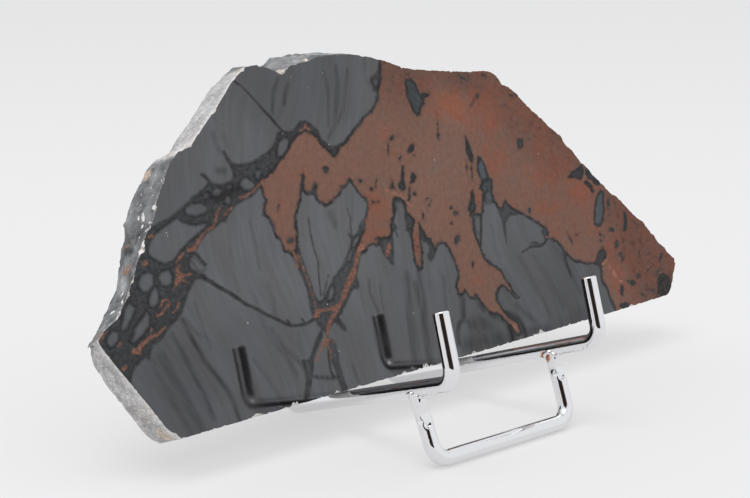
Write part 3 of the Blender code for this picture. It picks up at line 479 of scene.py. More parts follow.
# Painted glints: white spots painted into the broken glass of the rim, most standing in for its highlights
# and a few for pale frosted patches: along, up, depth, size
GLINTS = [
    (-44.8, 52.7, 0.6, 0.8), (-46.1, 50.8, 4.1, 1.2), (-46.5, 50.1, 1.2, 0.6), (-47.5, 48.8, 3.1, 0.8),
    (-44.4, 54.3, 6.6, 0.5), (-42.2, 57.9, 4.7, 0.45), (-39.9, 60.6, 4.7, 0.5), (-47.9, 48.1, 1.1, 0.9),
    (-49.8, 45, 0.5, 0.9), (-50.8, 43.2, 0.4, 1), (-55, 37.2, 0.5, 0.6), (-59.3, 31, 0.4, 0.6),
    (-60.5, 29.7, 0.6, 0.8), (-61.6, 28.8, 2.8, 0.6), (-62.1, 27.7, 4.4, 0.6), (-57.5, 33.6, 2.5, 1.3),
    (-56.3, 35.4, 5, 1.1), (-58.9, 31.6, 5.5, 1.1), (-43.6, 55.6, 2, 0.4), (-41, 58.6, 1, 0.5),
    (-38.2, 61.6, 1.4, 0.5), (-48.8, 46.6, 2.6, 0.5), (-46.9, 51.4, 5.6, 0.6), (0.1, 81.7, 1, 0.8),
    (9, 83.7, 0.8, 0.7), (7.6, 83.6, 2, 0.5), (-43, 56.6, 7.4, 0.4), (-45.2, 52.6, 8.6, 0.35),
]

# Where the broken glass is frosted, and the saw's powder thick: along, up, depth, reach, share
FROSTED = [
    (6, 84.5, 5, 8, 0.5), (-52.8, 41.3, 6, 3.2, 0.45), (-54.8, 37, 6, 3.6, 0.8), (-33, 64.5, 4, 6, 0.9),
]

# Past this place along the slab, the edge of the polish is no longer pale
PALE_EDGE_END = -10.0

# How deep the white powder of the saw lies behind the polished edge
POWDER_DEPTH = 2.6

# The stone's rim: its sawn stretches, and its weathered crust as (along, up, depth, reach, cream)
SAW_CUTS = [
    [(-52.2, -0.4), (-15, -0.2), (50, 0.2), (125, 1.3)],
    [(-35.4, 65.2), (-31.6, 65.5), (-28.2, 68.8), (-20.6, 75.3), (-12.2, 82.8)],
    [(-66, 24.2), (-63.6, 19.6), (-57.6, 9.2), (-52.2, 0.4)],
]
CRUST = [
    (-39.6, 61.4, 9.2, 2.4, 0.6), (-36, 65.2, 3.6, 1.8, 0.85), (-31.6, 66, 2, 1, 0.9),
    (-11.8, 83, 2.4, 1.6, 0.8), (-54.8, 37.4, 0.6, 1.1, 0.5), (-52.4, 39.8, 5.2, 1.9, 0.15),
    (-50.8, 43.6, 0.6, 1, 0.8), (-64.6, 26.2, 1.6, 1.8, 0.1), (-52.4, 0.8, 4, 3, 0.7),
    (-63, 27.4, 8, 2.4, 0.3), (0.2, 81.8, 1.4, 1.8, 0.9), (8.6, 83.8, 1.4, 1.3, 0.9), (45, 78, 8, 7, 0.2),
    (73, 74, 5, 6, 0.3), (92, 56, 7, 6, 0.2), (131, 9, 6, 5, 0.4), (112, 34, 7, 5, 0.2),
    (24, 84, 9, 5, 0.5),
]

# How the stone's layers lean, as sideways run to each millimetre up: along, up, lean
LAYERS = [
    (-45, 10, -0.42), (-20, 15, -0.35), (10, 20, 0), (5, 75, 0.42), (-20, 65, 0.15), (28, 10, 0.15),
    (75, 15, -0.45), (50, 50, 0.3), (85, 45, 0.35), (115, 15, 0.1),
]

# The drawing's own small shift on the face, and how it grows along the slab
DRAWN_OFF = (0.3, -0.15)
DRAWN_STRETCH = (0.003, -0.0025)

# How much larger the grey pieces are than drawn, and how much narrower the network
PIECE_GROWTH = 0.25
NETWORK_INSET = 0.15

# Fineness of the rim's mesh: its longest edges, then the longest near the polish and round the painted
# glints, how deep and how far out those reach; how often edges may be halved, and the rounds of smoothing
RIM_EDGE = 1.1
FINE_RIM = 0.55
FINE_DEPTH = 0.7
GLINT_ROOM = 0.8
SPLIT_ROUNDS = 5
SMOOTH_ROUNDS = 4

# Fineness of the two flat faces: the steps between points, finer near the pattern's lines; how near a
# line that is, and how far from the face's edge they keep
FACE_STEP = 1.2
FINE_STEP = 0.36
BACK_STEP = 1.9
BACK_FINE_STEP = 0.8
NEAR_LINE = 0.75
EDGE_CLEAR = 0.3

# How far from the pattern's lines distances are measured
REACH = 4.0

# How near points count as one, how near they count as on a flat face, and from which angle edges are sharp
WELD = 1e-6
ON_FACE = 0.02
SHARP_STONE = math.radians(42)
SHARP_ROD = math.radians(50)

# How softly the pattern's parts end, and how much the plain ground counts against the round soft areas
FILL_SOFT = 0.8
HEART_SOFT = 0.8
PIECE_SOFT = 1.3
SPLINTER_SOFT = 2.0
SHEEN_REST = 0.35
AREA_REST = 0.25

# The layers: how widely each lean reaches, squared, and the level where they aren't moved sideways
LAYER_SPREAD = 200.0
LAYER_LEVEL = 35.0

# How fine each kind of marking is: across the layers, up them, and into the stone
STREAKY = (0.8, 0.05, 0.2)
THREADY = (2.8, 0.22, 0.6)
CLOUDY = (0.14, 0.035, 0.05)
SMOKY = (0.9, 0.16, 0.2)
FIBROUS = (2.4, 0.36, 0.6)
SPECKLED = (2.6, 1.3, 2.0)

# The saw's frosted surface: how far it reaches from a saw cut, and over what width it ends
SAW_REACH = 2.4
SAW_FADE = 1.2

# The rim's relief: how far it swells before the scallops bite, the scallops and the steps on them,
# each as fineness and depth, the ripples' height, the saw grooves' pitch and height, and how far from
# both faces it is calm
SWELL = 0.20
SCALLOPS = (0.33, 1.1)
STEPS_ON_SCALLOPS = (0.9, 0.12)
RIPPLE = 0.018
GROOVES = (7.5, 0.018)
CALM_EDGE = 0.9

# The nicks beside the polish: how wide their band is, and their depth on sawn and on broken edges
NICK_BAND = 0.8
SAWN_NICK = 0.55
BROKEN_NICK = 0.8

# How much longer than wide a painted glint is, as the scale of its distances
GLINT_SHAPE = (1.5, 0.65, 1.5)

# Fineness of the rods
ROD_SIDES = 48
ROD_STEP = 0.6
FOOT_STEP = 0.3
BEND_STEP = math.radians(6)
END_STEPS = 4
BEAD_SIDES = 10

# The weld beads: their half width, how far they stand off the leg along the arm and across it, the least
# drop under the arm's axis, and how browned they are; and how far the browning reaches
BEAD = 0.62
BEAD_OFF = 0.15
BEAD_SPREAD = 1.06
BEAD_DROP = 0.5
BEAD_HEAT = 0.7
HEAT_REACH = 5.5

# The flats hammered on the foot's legs: side, height along the leg, turn, reach, depth
FLATS = [
    ("left", 0.80, -1.69, 4, 0.36), ("left", 0.80, -2.93, 4, 0.36), ("left", 0.56, -1.96, 1.2, 0.30),
    ("left", 0.60, -2.70, 1, 0.26), ("right", 0.85, -1.69, 3.4, 0.36), ("right", 0.85, -2.93, 3.4, 0.36),
    ("right", 0.66, -1.90, 1.1, 0.30), ("right", 0.70, -2.60, 1, 0.30),
]

# Lumps of spatter on the arms: side, how far back, reach, height
LUMPS = [
    ("left", 6.8, 0.9, 0.45), ("left", 8.2, 0.7, 0.3), ("right", 4.8, 0.9, 0.45), ("right", 6.6, 0.6, 0.25),
]

# The rust stain on the right arm: how far back and how far it reaches; and the way from the arms' axes
# to the side that the camera sees
RUST_BACK = 15.9
RUST_REACH = 2.3
TO_CAMERA_SIDE = Vector((-0.62, -0.40, -0.67))

# The soft light above, in metres: its sides, its place and its aim; and the dark opening's rise and soft edge
KEY_SIDES = (0.9, 0.7)
KEY_PLACE = (-0.5, -0.25, 1.3)
KEY_AIM = (0.0, 0.0, 0.03)
DARK_RISE = 0.18
DARK_SOFT = math.radians(7)

# The camera in the stand's frame
CAMERA_PLACE = Vector((-251.25, -236.58, 122.75))
CAMERA_TURN = math.radians(-40.61)
CAMERA_DIP = math.radians(11.76)
CAMERA_ROLL = math.radians(-0.48)
CAMERA_LENS = 72.0
SENSOR = 36.0
NEAR_CLIP = 0.01


# Shaders


class Wire:
    """One output of a node, used as a number in an expression."""

    def __init__(self, nodes, output):
        self.nodes = nodes
        self.output = output

    def math(self, operation, *values):
        return self.nodes.add("ShaderNodeMath", {"operation": operation}, dict(enumerate(values)))

    def __add__(self, other):
        return self.math("ADD", self, other)

    def __sub__(self, other):
        return self.math("SUBTRACT", self, other)

    def __rsub__(self, other):
        return self.math("SUBTRACT", other, self)

    def __mul__(self, other):
        return self.math("MULTIPLY", self, other)

    __radd__ = __add__
    __rmul__ = __mul__

    def larger(self, other):
        return self.math("MAXIMUM", self, other)

    def smaller(self, other):
        return self.math("MINIMUM", self, other)

    def step(self, low, high):
        """0 below low, 1 above high, smooth between them."""
        values = {"Value": self, "From Min": low, "From Max": high}
        return self.nodes.add("ShaderNodeMapRange", {"interpolation_type": "SMOOTHSTEP"}, values)

    def scaled(self, along, up, depth):
        """A vector with each of its parts multiplied."""
        values = {0: self, 1: (along, up, depth)}
        return self.nodes.add("ShaderNodeVectorMath", {"operation": "MULTIPLY"}, values)


class Nodes:
    """The nodes of one material or of the world."""

    def __init__(self, tree):
        self.tree = tree

    def add(self, kind, settings=None, values=None, output=0):
        """A node of a kind: its settings first, then its sockets' values or links. Gives one output."""
        made = self.tree.nodes.new(kind)
        for name, value in (settings or {}).items():
            setattr(made, name, value)
        for name, value in (values or {}).items():
            self.feed(made.inputs[name], value)
        return Wire(self, made.outputs[output])

    def feed(self, socket, value):
        if isinstance(value, Wire):
            self.tree.links.new(value.output, socket)
        elif socket.type == "RGBA":
            socket.default_value = (*value[:3], 1.0)
        else:
            socket.default_value = value

    def measure(self, name):
        """A number kept at each point of the piece's mesh."""
        return self.add("ShaderNodeAttribute", {"attribute_name": name}, output=2)

    def place(self, name):
        """A vector kept at each point of the piece's mesh."""
        return self.add("ShaderNodeAttribute", {"attribute_name": name}, output=1)

    def noise(self, place, scale, detail=2.0, roughness=0.5):
        """Soft noise from 0 to 1, its middle at 0.5."""
        values = {"Vector": place, "Scale": scale, "Detail": detail, "Roughness": roughness}
        return self.add("ShaderNodeTexNoise", None, values)

    def mix(self, amount, first, second, blend="MIX"):
        """A colour between two, or the second laid on the first in a way of blending."""
        settings = {"data_type": "RGBA", "blend_type": blend}
        return self.add("ShaderNodeMix", settings, {0: amount, 6: first, 7: second}, 2)

    def shade(self, colour, factor):
        """A colour made lighter or darker by a number."""
        values = {0: colour, "Scale": factor}
        return self.add("ShaderNodeVectorMath", {"operation": "SCALE"}, values)


def new_finish(name):
    material = bpy.data.materials.new(name)
    material.use_nodes = True
    return material, Nodes(material.node_tree), material.node_tree.nodes["Principled BSDF"]


def stone_pattern(nodes, stone):
    """The stone's colour, and how much of its grey sheen shows."""
    place = nodes.place("place")
    layers = nodes.place("layers")
    wander = nodes.noise(place, 0.7, 3.0) - 0.5
    ragged = nodes.noise(place, 2.3, 4.0, 0.62) - 0.5
    patch = nodes.noise(place, 0.42, 3.0).step(0.32, 0.68)
    mahogany = nodes.measure("mahogany") + wander * 1.1 + ragged * 1.5
    network = nodes.measure("network") + wander * 0.9 + ragged * 0.9
    line = nodes.measure("line") + wander * 0.4 + ragged * 0.6
    vein = nodes.measure("vein") + wander * 0.7 + ragged * 1.2

    inside = mahogany.step(-0.28, 0.28)
    lining = (mahogany + patch * 0.3).step(-1.0, -0.35) * (0.70 + 0.26 * patch)
    border = network.step(-0.45, 0.1) * (1 - network.step(0.1, 1.1)) * (0.12 + 0.5 * patch)
    dark = (line.step(-0.32, 0.30) * (0.70 + 0.24 * patch)).larger(lining).larger(border)

    streak = nodes.noise(layers.scaled(*STREAKY), 1.0, 3.0, 0.58).step(0.2, 0.8)
    thread = nodes.noise(layers.scaled(*THREADY), 1.0, 3.0, 0.6).step(0.25, 0.75)
    cloud = nodes.noise(layers.scaled(*CLOUDY), 1.0, 2.0).step(0.25, 0.75)
    grain = nodes.noise(place, 6.5, 2.0, 0.7)
    wisp = nodes.noise(layers.scaled(*SMOKY), 1.0, 3.0).step(0.2, 0.7)
    smoke = nodes.measure("smoke") * (0.55 + 0.7 * wisp)
    dusk = nodes.measure("dusk")
    shadow = dusk * (0.72 + 0.56 * nodes.noise(place, 0.9, 4.0, 0.6).step(0.25, 0.75))
    silver = (0.86 + 0.16 * streak + 0.14 * cloud + 0.04 * thread) * (1 + nodes.measure("glow"))
    silver = silver * (1 - 0.8 * smoke.smaller(1.0)) * (1 - shadow.smaller(0.9))
    sheen = nodes.shade(nodes.mix(cloud, stone.sheen_warm, stone.sheen_cool), silver)
    tint = nodes.mix(dusk.step(0.42, 0.60), stone.heart_tint, stone.heart_warm)
    sheen = nodes.mix(nodes.measure("heart"), sheen, tint, "MULTIPLY")

    bright = nodes.measure("bright")
    blotch = nodes.noise(place, 0.17, 4.0, 0.6)
    red = nodes.measure("red") + (blotch - 0.5) * 2.4 + (streak - 0.5) * 0.5
    brown = nodes.mix(red.step(-0.9, 0.05), stone.mahogany_pale, stone.mahogany)
    brown = nodes.mix(red.step(0.05, 0.9), brown, stone.mahogany_red)
    mottle = nodes.noise(place, 0.7, 4.0, 0.6).step(0.2, 0.8)
    fibre = nodes.noise(layers.scaled(*FIBROUS), 1.0, 4.0, 0.65).step(0.2, 0.8)
    speck = nodes.noise(layers.scaled(*SPECKLED), 1.0, 2.0, 0.6).step(0.62, 0.74)
    smudge = nodes.noise(place, 0.5, 4.0, 0.65).step(0.5, 0.68) * (bright * -1.8).larger(0.0)
    depth = (0.68 + 0.26 * mottle + 0.16 * fibre + 0.26 * blotch) * (1 + bright)
    depth = depth * (1 - 0.45 * speck) * (1 - smudge.smaller(0.6))
    brown = nodes.shade(brown, depth * (0.80 + 0.20 * mahogany.step(0.0, 0.9)))
    seam = mahogany.step(0.0, 0.25) * (1 - mahogany.step(0.35, 0.8))
    seam = seam * nodes.noise(place, 0.8, 3.0).step(0.52, 0.68)
    brown = nodes.mix(seam * 0.7, brown, stone.vein)

    orange = nodes.noise(place, 1.3, 4.0, 0.6).step(0.25, 0.75)
    orange = nodes.shade(stone.vein, (0.45 + 0.95 * orange) * (1 + 0.45 * inside))
    lit = vein.step(-0.28, 0.34) * (0.65 + 0.35 * nodes.noise(place, 1.0, 2.0).step(0.35, 0.6))
    fleck = nodes.measure("fleck").step(0.45, 0.95)
    colour = nodes.mix(dark, sheen, stone.glass)
    colour = nodes.mix(inside, colour, brown)
    colour = nodes.mix(lit, colour, orange)
    colour = nodes.mix(fleck, colour, stone.fleck)
    metal = (1 - inside) * (1 - dark) * (1 - lit) * (1 - fleck)
    return colour, metal, grain, place


def make_polish(stone):
    """The polished face: the pattern under a fine polish with faint wipe marks."""
    material, nodes, shader = new_finish("polished_obsidian")
    colour, metal, grain, place = stone_pattern(nodes, stone)
    shader.inputs["Specular IOR Level"].default_value = stone.glass_gloss
    nodes.feed(shader.inputs["Base Color"], colour)
    nodes.feed(shader.inputs["Metallic"], metal * stone.sheen_share)
    haze = nodes.noise(place, 0.08, 3.0).step(0.42, 0.72)
    nodes.feed(shader.inputs["Roughness"], stone.polish + 0.035 * haze + 0.02 * grain)
    waves = nodes.noise(place, 0.055, 2.0)
    bump = {"Strength": 0.12, "Distance": 0.0001, "Height": waves + 0.02 * grain}
    nodes.feed(shader.inputs["Normal"], nodes.add("ShaderNodeBump", None, bump))
    return material


def make_sawn_back(stone):
    """The back: the same stone, sawn and left satin, with the saw's faint curved marks."""
    material, nodes, shader = new_finish("sawn_obsidian")
    colour, metal, grain, place = stone_pattern(nodes, stone)
    marks = nodes.add("ShaderNodeTexWave", {"bands_direction": "X", "wave_profile": "SAW"},
                      {"Vector": place, "Scale": 0.34, "Distortion": 2.2, "Detail": 3.0, "Detail Scale": 0.4})
    dust = nodes.noise(place, 2.2, 4.0, 0.7).step(0.5, 0.8)
    shader.inputs["Specular IOR Level"].default_value = stone.glass_gloss
    pale = nodes.mix(0.06 + 0.10 * dust + 0.05 * marks, colour, stone.sawn)
    nodes.feed(shader.inputs["Base Color"], pale)
    nodes.feed(shader.inputs["Metallic"], metal * 0.4)
    nodes.feed(shader.inputs["Roughness"], 0.34 + 0.16 * dust)
    bump = {"Strength": 0.25, "Distance": 0.0001, "Height": marks * 0.5 + grain * 0.3}
    nodes.feed(shader.inputs["Normal"], nodes.add("ShaderNodeBump", None, bump))
    return material


def make_rim(stone):
    """The rim: frosted where it was sawn, glassy where it broke, earthy where the crust is left, with painted
    white sparkles and glints standing in for its highlights.
    """
    material, nodes, shader = new_finish("broken_obsidian")
    colour, metal, grain, place = stone_pattern(nodes, stone)
    sawn = nodes.measure("sawn")
    crust = nodes.measure("crust") + (nodes.noise(place, 0.9, 4.0, 0.65) - 0.5) * 0.9
    chip = nodes.measure("chip")
    speckle = nodes.noise(place, 1.4, 4.0, 0.8).step(0.28, 0.72)
    frost = nodes.mix(nodes.noise(place, 0.3, 2.0).step(0.3, 0.7), stone.sawn, stone.sawn_warm)
    uneven = nodes.noise(place, 0.22, 3.0).step(0.3, 0.7)
    frost = nodes.shade(frost, (0.5 + speckle) * (0.8 + 0.4 * uneven))
    frost = nodes.mix(nodes.noise(place, 1.3, 3.0, 0.7).step(0.56, 0.74) * 0.55, frost, stone.glass)
    # Painted sparkles: white specks laid on the frosted glass, standing in for its glints
    frost = nodes.mix(nodes.noise(place, 2.6, 2.0).step(0.62, 0.70), frost, stone.glint)
    frosted = nodes.measure("frosted")
    powder = nodes.measure("powder").larger(frosted)
    frost = nodes.mix(powder * nodes.noise(place, 1.2, 4.0, 0.7).step(0.3, 0.65), frost, stone.glint)
    earth = nodes.mix(nodes.measure("cream").step(0.2, 0.8), stone.crust, stone.cream)
    earth = nodes.shade(earth, 0.4 + 1.2 * nodes.noise(place, 1.3, 5.0, 0.7).step(0.2, 0.8))
    rust = crust.step(0.35, 0.65)
    milky = 0.05 + 0.42 * nodes.noise(place, 0.26, 3.0, 0.55).step(0.36, 0.70)
    milky = (milky + frosted * nodes.noise(place, 0.8, 4.0, 0.6).step(0.2, 0.6)).smaller(1.0)
    glassy = nodes.mix(milky, colour, stone.sawn)
    base = nodes.mix(sawn, glassy, frost)
    base = nodes.mix(rust, base, earth)
    pale = chip * nodes.noise(place, 3.0, 4.0, 0.8).step(0.40, 0.58)
    base = nodes.mix(pale * 0.9, base, stone.chip)
    # Painted glints: white laid into the base colour where the broken glass would flash
    glint = (nodes.measure("glint") + (nodes.noise(place, 1.8, 3.0, 0.7) - 0.5) * 1.5).step(0.45, 0.7)
    base = nodes.mix(glint, base, stone.glint)
    rough = sawn.larger(rust).larger(pale).larger(glint)
    shader.inputs["Specular IOR Level"].default_value = stone.glass_gloss
    nodes.feed(shader.inputs["Base Color"], base)
    nodes.feed(shader.inputs["Metallic"], metal * (1 - rough) * stone.sheen_share)
    nodes.feed(shader.inputs["Roughness"], 0.20 + 0.35 * rough + 0.05 * grain)
    bump = {"Strength": 0.5, "Distance": 0.0002, "Height": speckle * (0.25 + rough)}
    nodes.feed(shader.inputs["Normal"], nodes.add("ShaderNodeBump", None, bump))
    return material


def make_chrome(stand):
    """Bright plating over drawn rod: faint ripples, a few dull spots, browned beside the welds."""
    material, nodes, shader = new_finish("chrome_plate")
    place = nodes.place("place")
    ripple = nodes.noise(place, 0.35, 2.0)
    dull = nodes.noise(place, 0.55, 4.0, 0.7).step(0.58, 0.78)
    heat = nodes.measure("heat")
    rust = (nodes.measure("rust") + (nodes.noise(place, 2.4, 4.0) - 0.5) * 0.7).step(0.35, 0.7)
    colour = nodes.mix(heat * 0.55, stand.chrome, stand.heat_tint)
    colour = nodes.mix(rust, colour, stand.rust)
    nodes.feed(shader.inputs["Base Color"], colour)
    nodes.feed(shader.inputs["Metallic"], 1 - 0.8 * rust)
    nodes.feed(shader.inputs["Roughness"], stand.polish + 0.07 * dull + 0.16 * heat + 0.4 * rust)
    scale = heat * nodes.noise(place, 2.0, 3.0)
    bump = {"Strength": 0.25, "Distance": 0.0002, "Height": ripple + 0.25 * scale}
    nodes.feed(shader.inputs["Normal"], nodes.add("ShaderNodeBump", None, bump))
    return material


# The stand's rods


def rounded_path(corners, radii, longest=ROD_STEP):
    """The corners joined by straight runs, each inner corner turned with its radius, in even steps."""
    runs = [corners[0]]
    for before, corner, after, radius in zip(corners, corners[1:], corners[2:], radii):
        into = (corner - before).normalized()
        out = (after - corner).normalized()
        turn = into.angle(out)
        reach = radius * math.tan(turn / 2)
        inward = (out - into * into.dot(out)).normalized()
        start = corner - into * reach
        centre = start + inward * radius
        steps = max(2, math.ceil(turn / BEND_STEP))
        for step in range(steps + 1):
            angle = turn * step / steps
            runs.append(centre - inward * radius * math.cos(angle) + into * radius * math.sin(angle))
    runs.append(corners[-1])
    path = [runs[0]]
    for start, end in zip(runs, runs[1:]):
        steps = max(1, round((end - start).length / longest))
        path += [start.lerp(end, step / steps) for step in range(1, steps + 1)]
    return path


def front_corner(side):
    return Vector((side["sign"] * POST_SPACING / 2, 0.0, side["corner_z"]))


def post_top(side):
    return front_corner(side) + Vector((0.0, math.sin(POST_LEAN), math.cos(POST_LEAN))) * side["post"]


def arm_direction(side):
    return (Vector((*side["rear"], ROD / 2)) - front_corner(side)).normalized()


def arm_point(side, y):
    direction = arm_direction(side)
    return front_corner(side) + direction * (y / direction.y)


def rear_corner(side):
    """The sharp corner whose rounded bend has its lowest point on the table."""
    direction = arm_direction(side)
    dip = math.asin(-direction.z)
    rise = REAR_BEND * (math.tan((math.pi / 2 + dip) / 2) * math.sin(dip) + math.cos(dip) - 1)
    reach = (ROD / 2 - rise - front_corner(side).z) / direction.z
    return front_corner(side) + direction * reach


def foot_corner(side):
    return Vector((side["leg_x"], FOOT_Y, ROD / 2))


def foot_top(side):
    """Where a leg of the foot, square to the arm, meets the arm's axis."""
    direction = arm_direction(side)
    return front_corner(side) + direction * (foot_corner(side) - front_corner(side)).dot(direction)


def ring_frames(path):
    """At each point of a path, two directions square to it that don't twist along it."""
    frames = []
    across = (path[1] - path[0]).orthogonal().normalized()
    for before, point, after in zip([path[0], *path], path, [*path[1:], path[-1]]):
        run = (after - before).normalized()
        across = (across - run * across.dot(run)).normalized()
        frames.append((across.copy(), run.cross(across)))
    return frames


def tube(path, radii, sides):
    """The points and faces of a closed round tube along a path, with a radius at each point."""
    points = []
    faces = []
    frames = ring_frames(path)
    for spot, radius, (across, other) in zip(path, radii, frames):
        for side in range(sides):
            angle = 2 * math.pi * side / sides
            points.append(spot + (across * math.cos(angle) + other * math.sin(angle)) * radius)
    for ring in range(len(path) - 1):
        for side in range(sides):
            after = (side + 1) % sides
            near, far = ring * sides, (ring + 1) * sides
            faces.append((near + side, near + after, far + after, far + side))
    for ring, spot, turned in ((0, path[0], True), (len(path) - 1, path[-1], False)):
        centre = len(points)
        points.append(spot)
        for side in range(sides):
            pair = (ring * sides + side, ring * sides + (side + 1) % sides)
            faces.append((centre, *reversed(pair)) if turned else (centre, *pair))
    return points, faces


def rounded_ends(path, radius, round_over):
    """A path and its radii with the rod's two cut ends rounded over."""
    first = (path[1] - path[0]).normalized()
    last = (path[-2] - path[-1]).normalized()
    start = []
    end = []
    for step in range(END_STEPS + 1):
        angle = math.pi / 2 * step / END_STEPS
        inset = round_over * (1 - math.sin(angle))
        narrow = radius - round_over * (1 - math.cos(angle))
        start.append((path[0] + first * inset, narrow))
        end.append((path[-1] + last * inset, narrow))
    start.sort(key=lambda pair: (pair[0] - path[0]).length)
    end.sort(key=lambda pair: -(pair[0] - path[-1]).length)
    middle = [(point, radius) for point in path[1:-1]]
    made = start + middle + end
    return [point for point, _ in made], [size for _, size in made]


def add_piece(name, points, faces, materials, slots=None):
    """A mesh object from points in millimetres in the part's frame."""
    mesh = bpy.data.meshes.new(name)
    mesh.from_pydata([tuple(Vector(point) * MM) for point in points], [], faces)
    for material in materials:
        mesh.materials.append(material)
    if slots is not None:
        mesh.polygons.foreach_set("material_index", slots)
    mesh.shade_smooth()
    mesh.update()
    piece = bpy.data.objects.new(name, mesh)
    bpy.context.scene.collection.objects.link(piece)
    return piece


def keep_numbers(mesh, name, values):
    """Keeps a number at each point of a mesh."""
    kept = mesh.attributes.new(name, "FLOAT", "POINT")
    kept.data.foreach_set("value", np.asarray(values, np.float32).ravel())


def keep_vectors(mesh, name, values):
    """Keeps a vector at each point of a mesh."""
    kept = mesh.attributes.new(name, "FLOAT_VECTOR", "POINT")
    kept.data.foreach_set("vector", np.asarray(values, np.float32).ravel())


def weld_line(side):
    """The saddle where a leg of the foot runs into the round of its arm."""
    arm = arm_direction(side)
    top = foot_top(side)
    leg = foot_corner(side) - top
    leg = (leg - arm * leg.dot(arm)).normalized()
    across = arm.cross(leg)
    made = []
    for step in range(ROD_SIDES):
        angle = 2 * math.pi * step / ROD_SIDES
        sideways = ROD / 2 * math.sin(angle)
        drop = max(BEAD_DROP, math.sqrt(max(0.0, (ROD / 2) ** 2 - sideways ** 2)))
        spot = top + arm * (ROD / 2 + BEAD_OFF) * math.cos(angle)
        made.append(spot + across * sideways * BEAD_SPREAD + leg * drop)
    return made


def bead(line, size):
    """A closed bead of weld along a closed line: its points and faces, lumpy as it was run."""
    points = []
    faces = []
    sides = BEAD_SIDES
    count = len(line)
    for index, spot in enumerate(line):
        run = (line[(index + 1) % count] - line[index - 1]).normalized()
        across = run.orthogonal().normalized()
        other = run.cross(across)
        lump = 0.78 + 0.5 * noise.noise(spot * 1.1) + 0.14 * math.sin(index * 2 * math.pi / 6)
        for side in range(sides):
            angle = 2 * math.pi * side / sides
            points.append(spot + (across * math.cos(angle) + other * math.sin(angle)) * size * lump)
    for index in range(count):
        near, far = index * sides, (index + 1) % count * sides
        shift = min(range(sides), key=lambda turn: (points[near] - points[far + turn]).length)
        for side in range(sides):
            after = (side + 1) % sides
            pair = (far + (after + shift) % sides, far + (side + shift) % sides)
            faces.append((near + side, near + after, *pair))
    return points, faces


def hammer_flats(points):
    """Presses the flats into the foot's legs."""
    for key, share, turn, reach, depth in FLATS:
        side = SIDES[key]
        spot = foot_corner(side).lerp(foot_top(side), share)
        look = Vector((math.cos(turn), math.sin(turn), 0.0))
        for index, point in enumerate(points):
            level = (point - spot).dot(look)
            away = ((point - spot) - look * level).length
            if level > ROD / 2 - depth and away < reach:
                points[index] = point - look * (level - ROD / 2 + depth) * (1 - (away / reach) ** 4)


def raise_lumps(points):
    """Raises the lumps of spatter on the arms."""
    for key, back, reach, height in LUMPS:
        middle = arm_point(SIDES[key], back)
        spot = middle + TO_CAMERA_SIDE * ROD / 2
        for index, point in enumerate(points):
            away = (point - spot).length / reach
            if away < 1:
                points[index] = point + (point - middle).normalized() * height * (1 - away * away) ** 2


def dress_rod(name, node, path, radii, chrome):
    """A rod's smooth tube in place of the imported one, with its lumps, flats, heat and rust marks."""
    points, faces = tube(path, radii, ROD_SIDES)
    if node == "front_foot":
        hammer_flats(points)
    else:
        raise_lumps(points)
    welds = [weld_line(side) for side in SIDES.values()]
    spots = [sum(line, Vector()) / len(line) for line in welds]
    piece = add_piece(name, [point + STAND for point in points], faces, [chrome])
    mesh = piece.data
    mesh.set_sharp_from_angle(angle=SHARP_ROD)
    keep_vectors(mesh, "place", [tuple(point) for point in points])
    gaps = [min((point - spot).length for spot in spots) for point in points]
    keep_numbers(mesh, "heat", [max(0.0, 1 - gap / HEAT_REACH) for gap in gaps])
    stain = arm_point(SIDES["right"], RUST_BACK) + TO_CAMERA_SIDE * ROD / 2
    keep_numbers(mesh, "rust", [max(0.0, 1.2 - (point - stain).length / RUST_REACH) for point in points])
    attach(piece, "root")
    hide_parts(node)
    return piece


# The stone


def slab_frame():
    """Matrix from (along, up, towards the viewer) on the polished face to the part's frame."""
    feet = [arm_point(side, SLAB_REST_Y) for side in (SIDES["left"], SIDES["right"])]
    lift = (ROD / 2 + GAP) / math.cos(math.asin(-arm_direction(SIDES["left"]).z))
    tilt = math.atan2(feet[1].z - feet[0].z, feet[1].x - feet[0].x)
    lean = Euler((math.pi / 2 - SLAB_LEAN, 0.0, 0.0)).to_matrix().to_4x4()
    place = Matrix.Translation(STAND + feet[0] + Vector((0.0, 0.0, lift)))
    return place @ lean @ Matrix.Rotation(tilt, 4, "Z")


def line_gap(points, line, closed):
    """Each point's distance to a line, level past REACH."""
    starts = np.array(line, float)
    ends = np.roll(starts, -1, axis=0) if closed else starts[1:]
    best = np.full(len(points), REACH)
    for start, end in zip(starts, ends):
        low = np.minimum(start, end) - REACH
        high = np.maximum(start, end) + REACH
        near = np.flatnonzero(((points > low) & (points < high)).all(1))
        run = end - start
        share = np.clip((points[near] - start) @ run / max(run @ run, 1e-9), 0, 1)
        gap = points[near] - start - share[:, None] * run
        best[near] = np.minimum(best[near], np.hypot(gap[:, 0], gap[:, 1]))
    return best


def within(points, corners):
    """Which points lie inside a closed outline."""
    inside = np.zeros(len(points), bool)
    for (x0, y0), (x1, y1) in zip(corners, corners[1:] + corners[:1]):
        if y0 == y1:
            continue
        crosses = (y0 > points[:, 1]) != (y1 > points[:, 1])
        inside ^= crosses & (points[:, 0] < (x1 - x0) * (points[:, 1] - y0) / (y1 - y0) + x0)
    return inside


def area_depth(points, corners):
    """How deep each point lies inside a closed outline, less than 0 outside."""
    return np.where(within(points, corners), 1.0, -1.0) * line_gap(points, corners, True)


def spot_depth(points, spot):
    """How deep each point lies inside an oval spot."""
    along, up, length, width, turn = spot
    angle = math.radians(turn)
    x = (points[:, 0] - along) * math.cos(angle) + (points[:, 1] - up) * math.sin(angle)
    y = (points[:, 1] - up) * math.cos(angle) - (points[:, 0] - along) * math.sin(angle)
    return (1 - np.hypot(x / length, y / width)) * width


def deepest(points, shapes, depth):
    """The largest depth over many shapes."""
    best = np.full(len(points), -REACH)
    for shape in shapes:
        best = np.maximum(best, depth(points, shape))
    return best


def stroke_depth(points, stroke):
    half, line = stroke
    return half - line_gap(points, line, False)


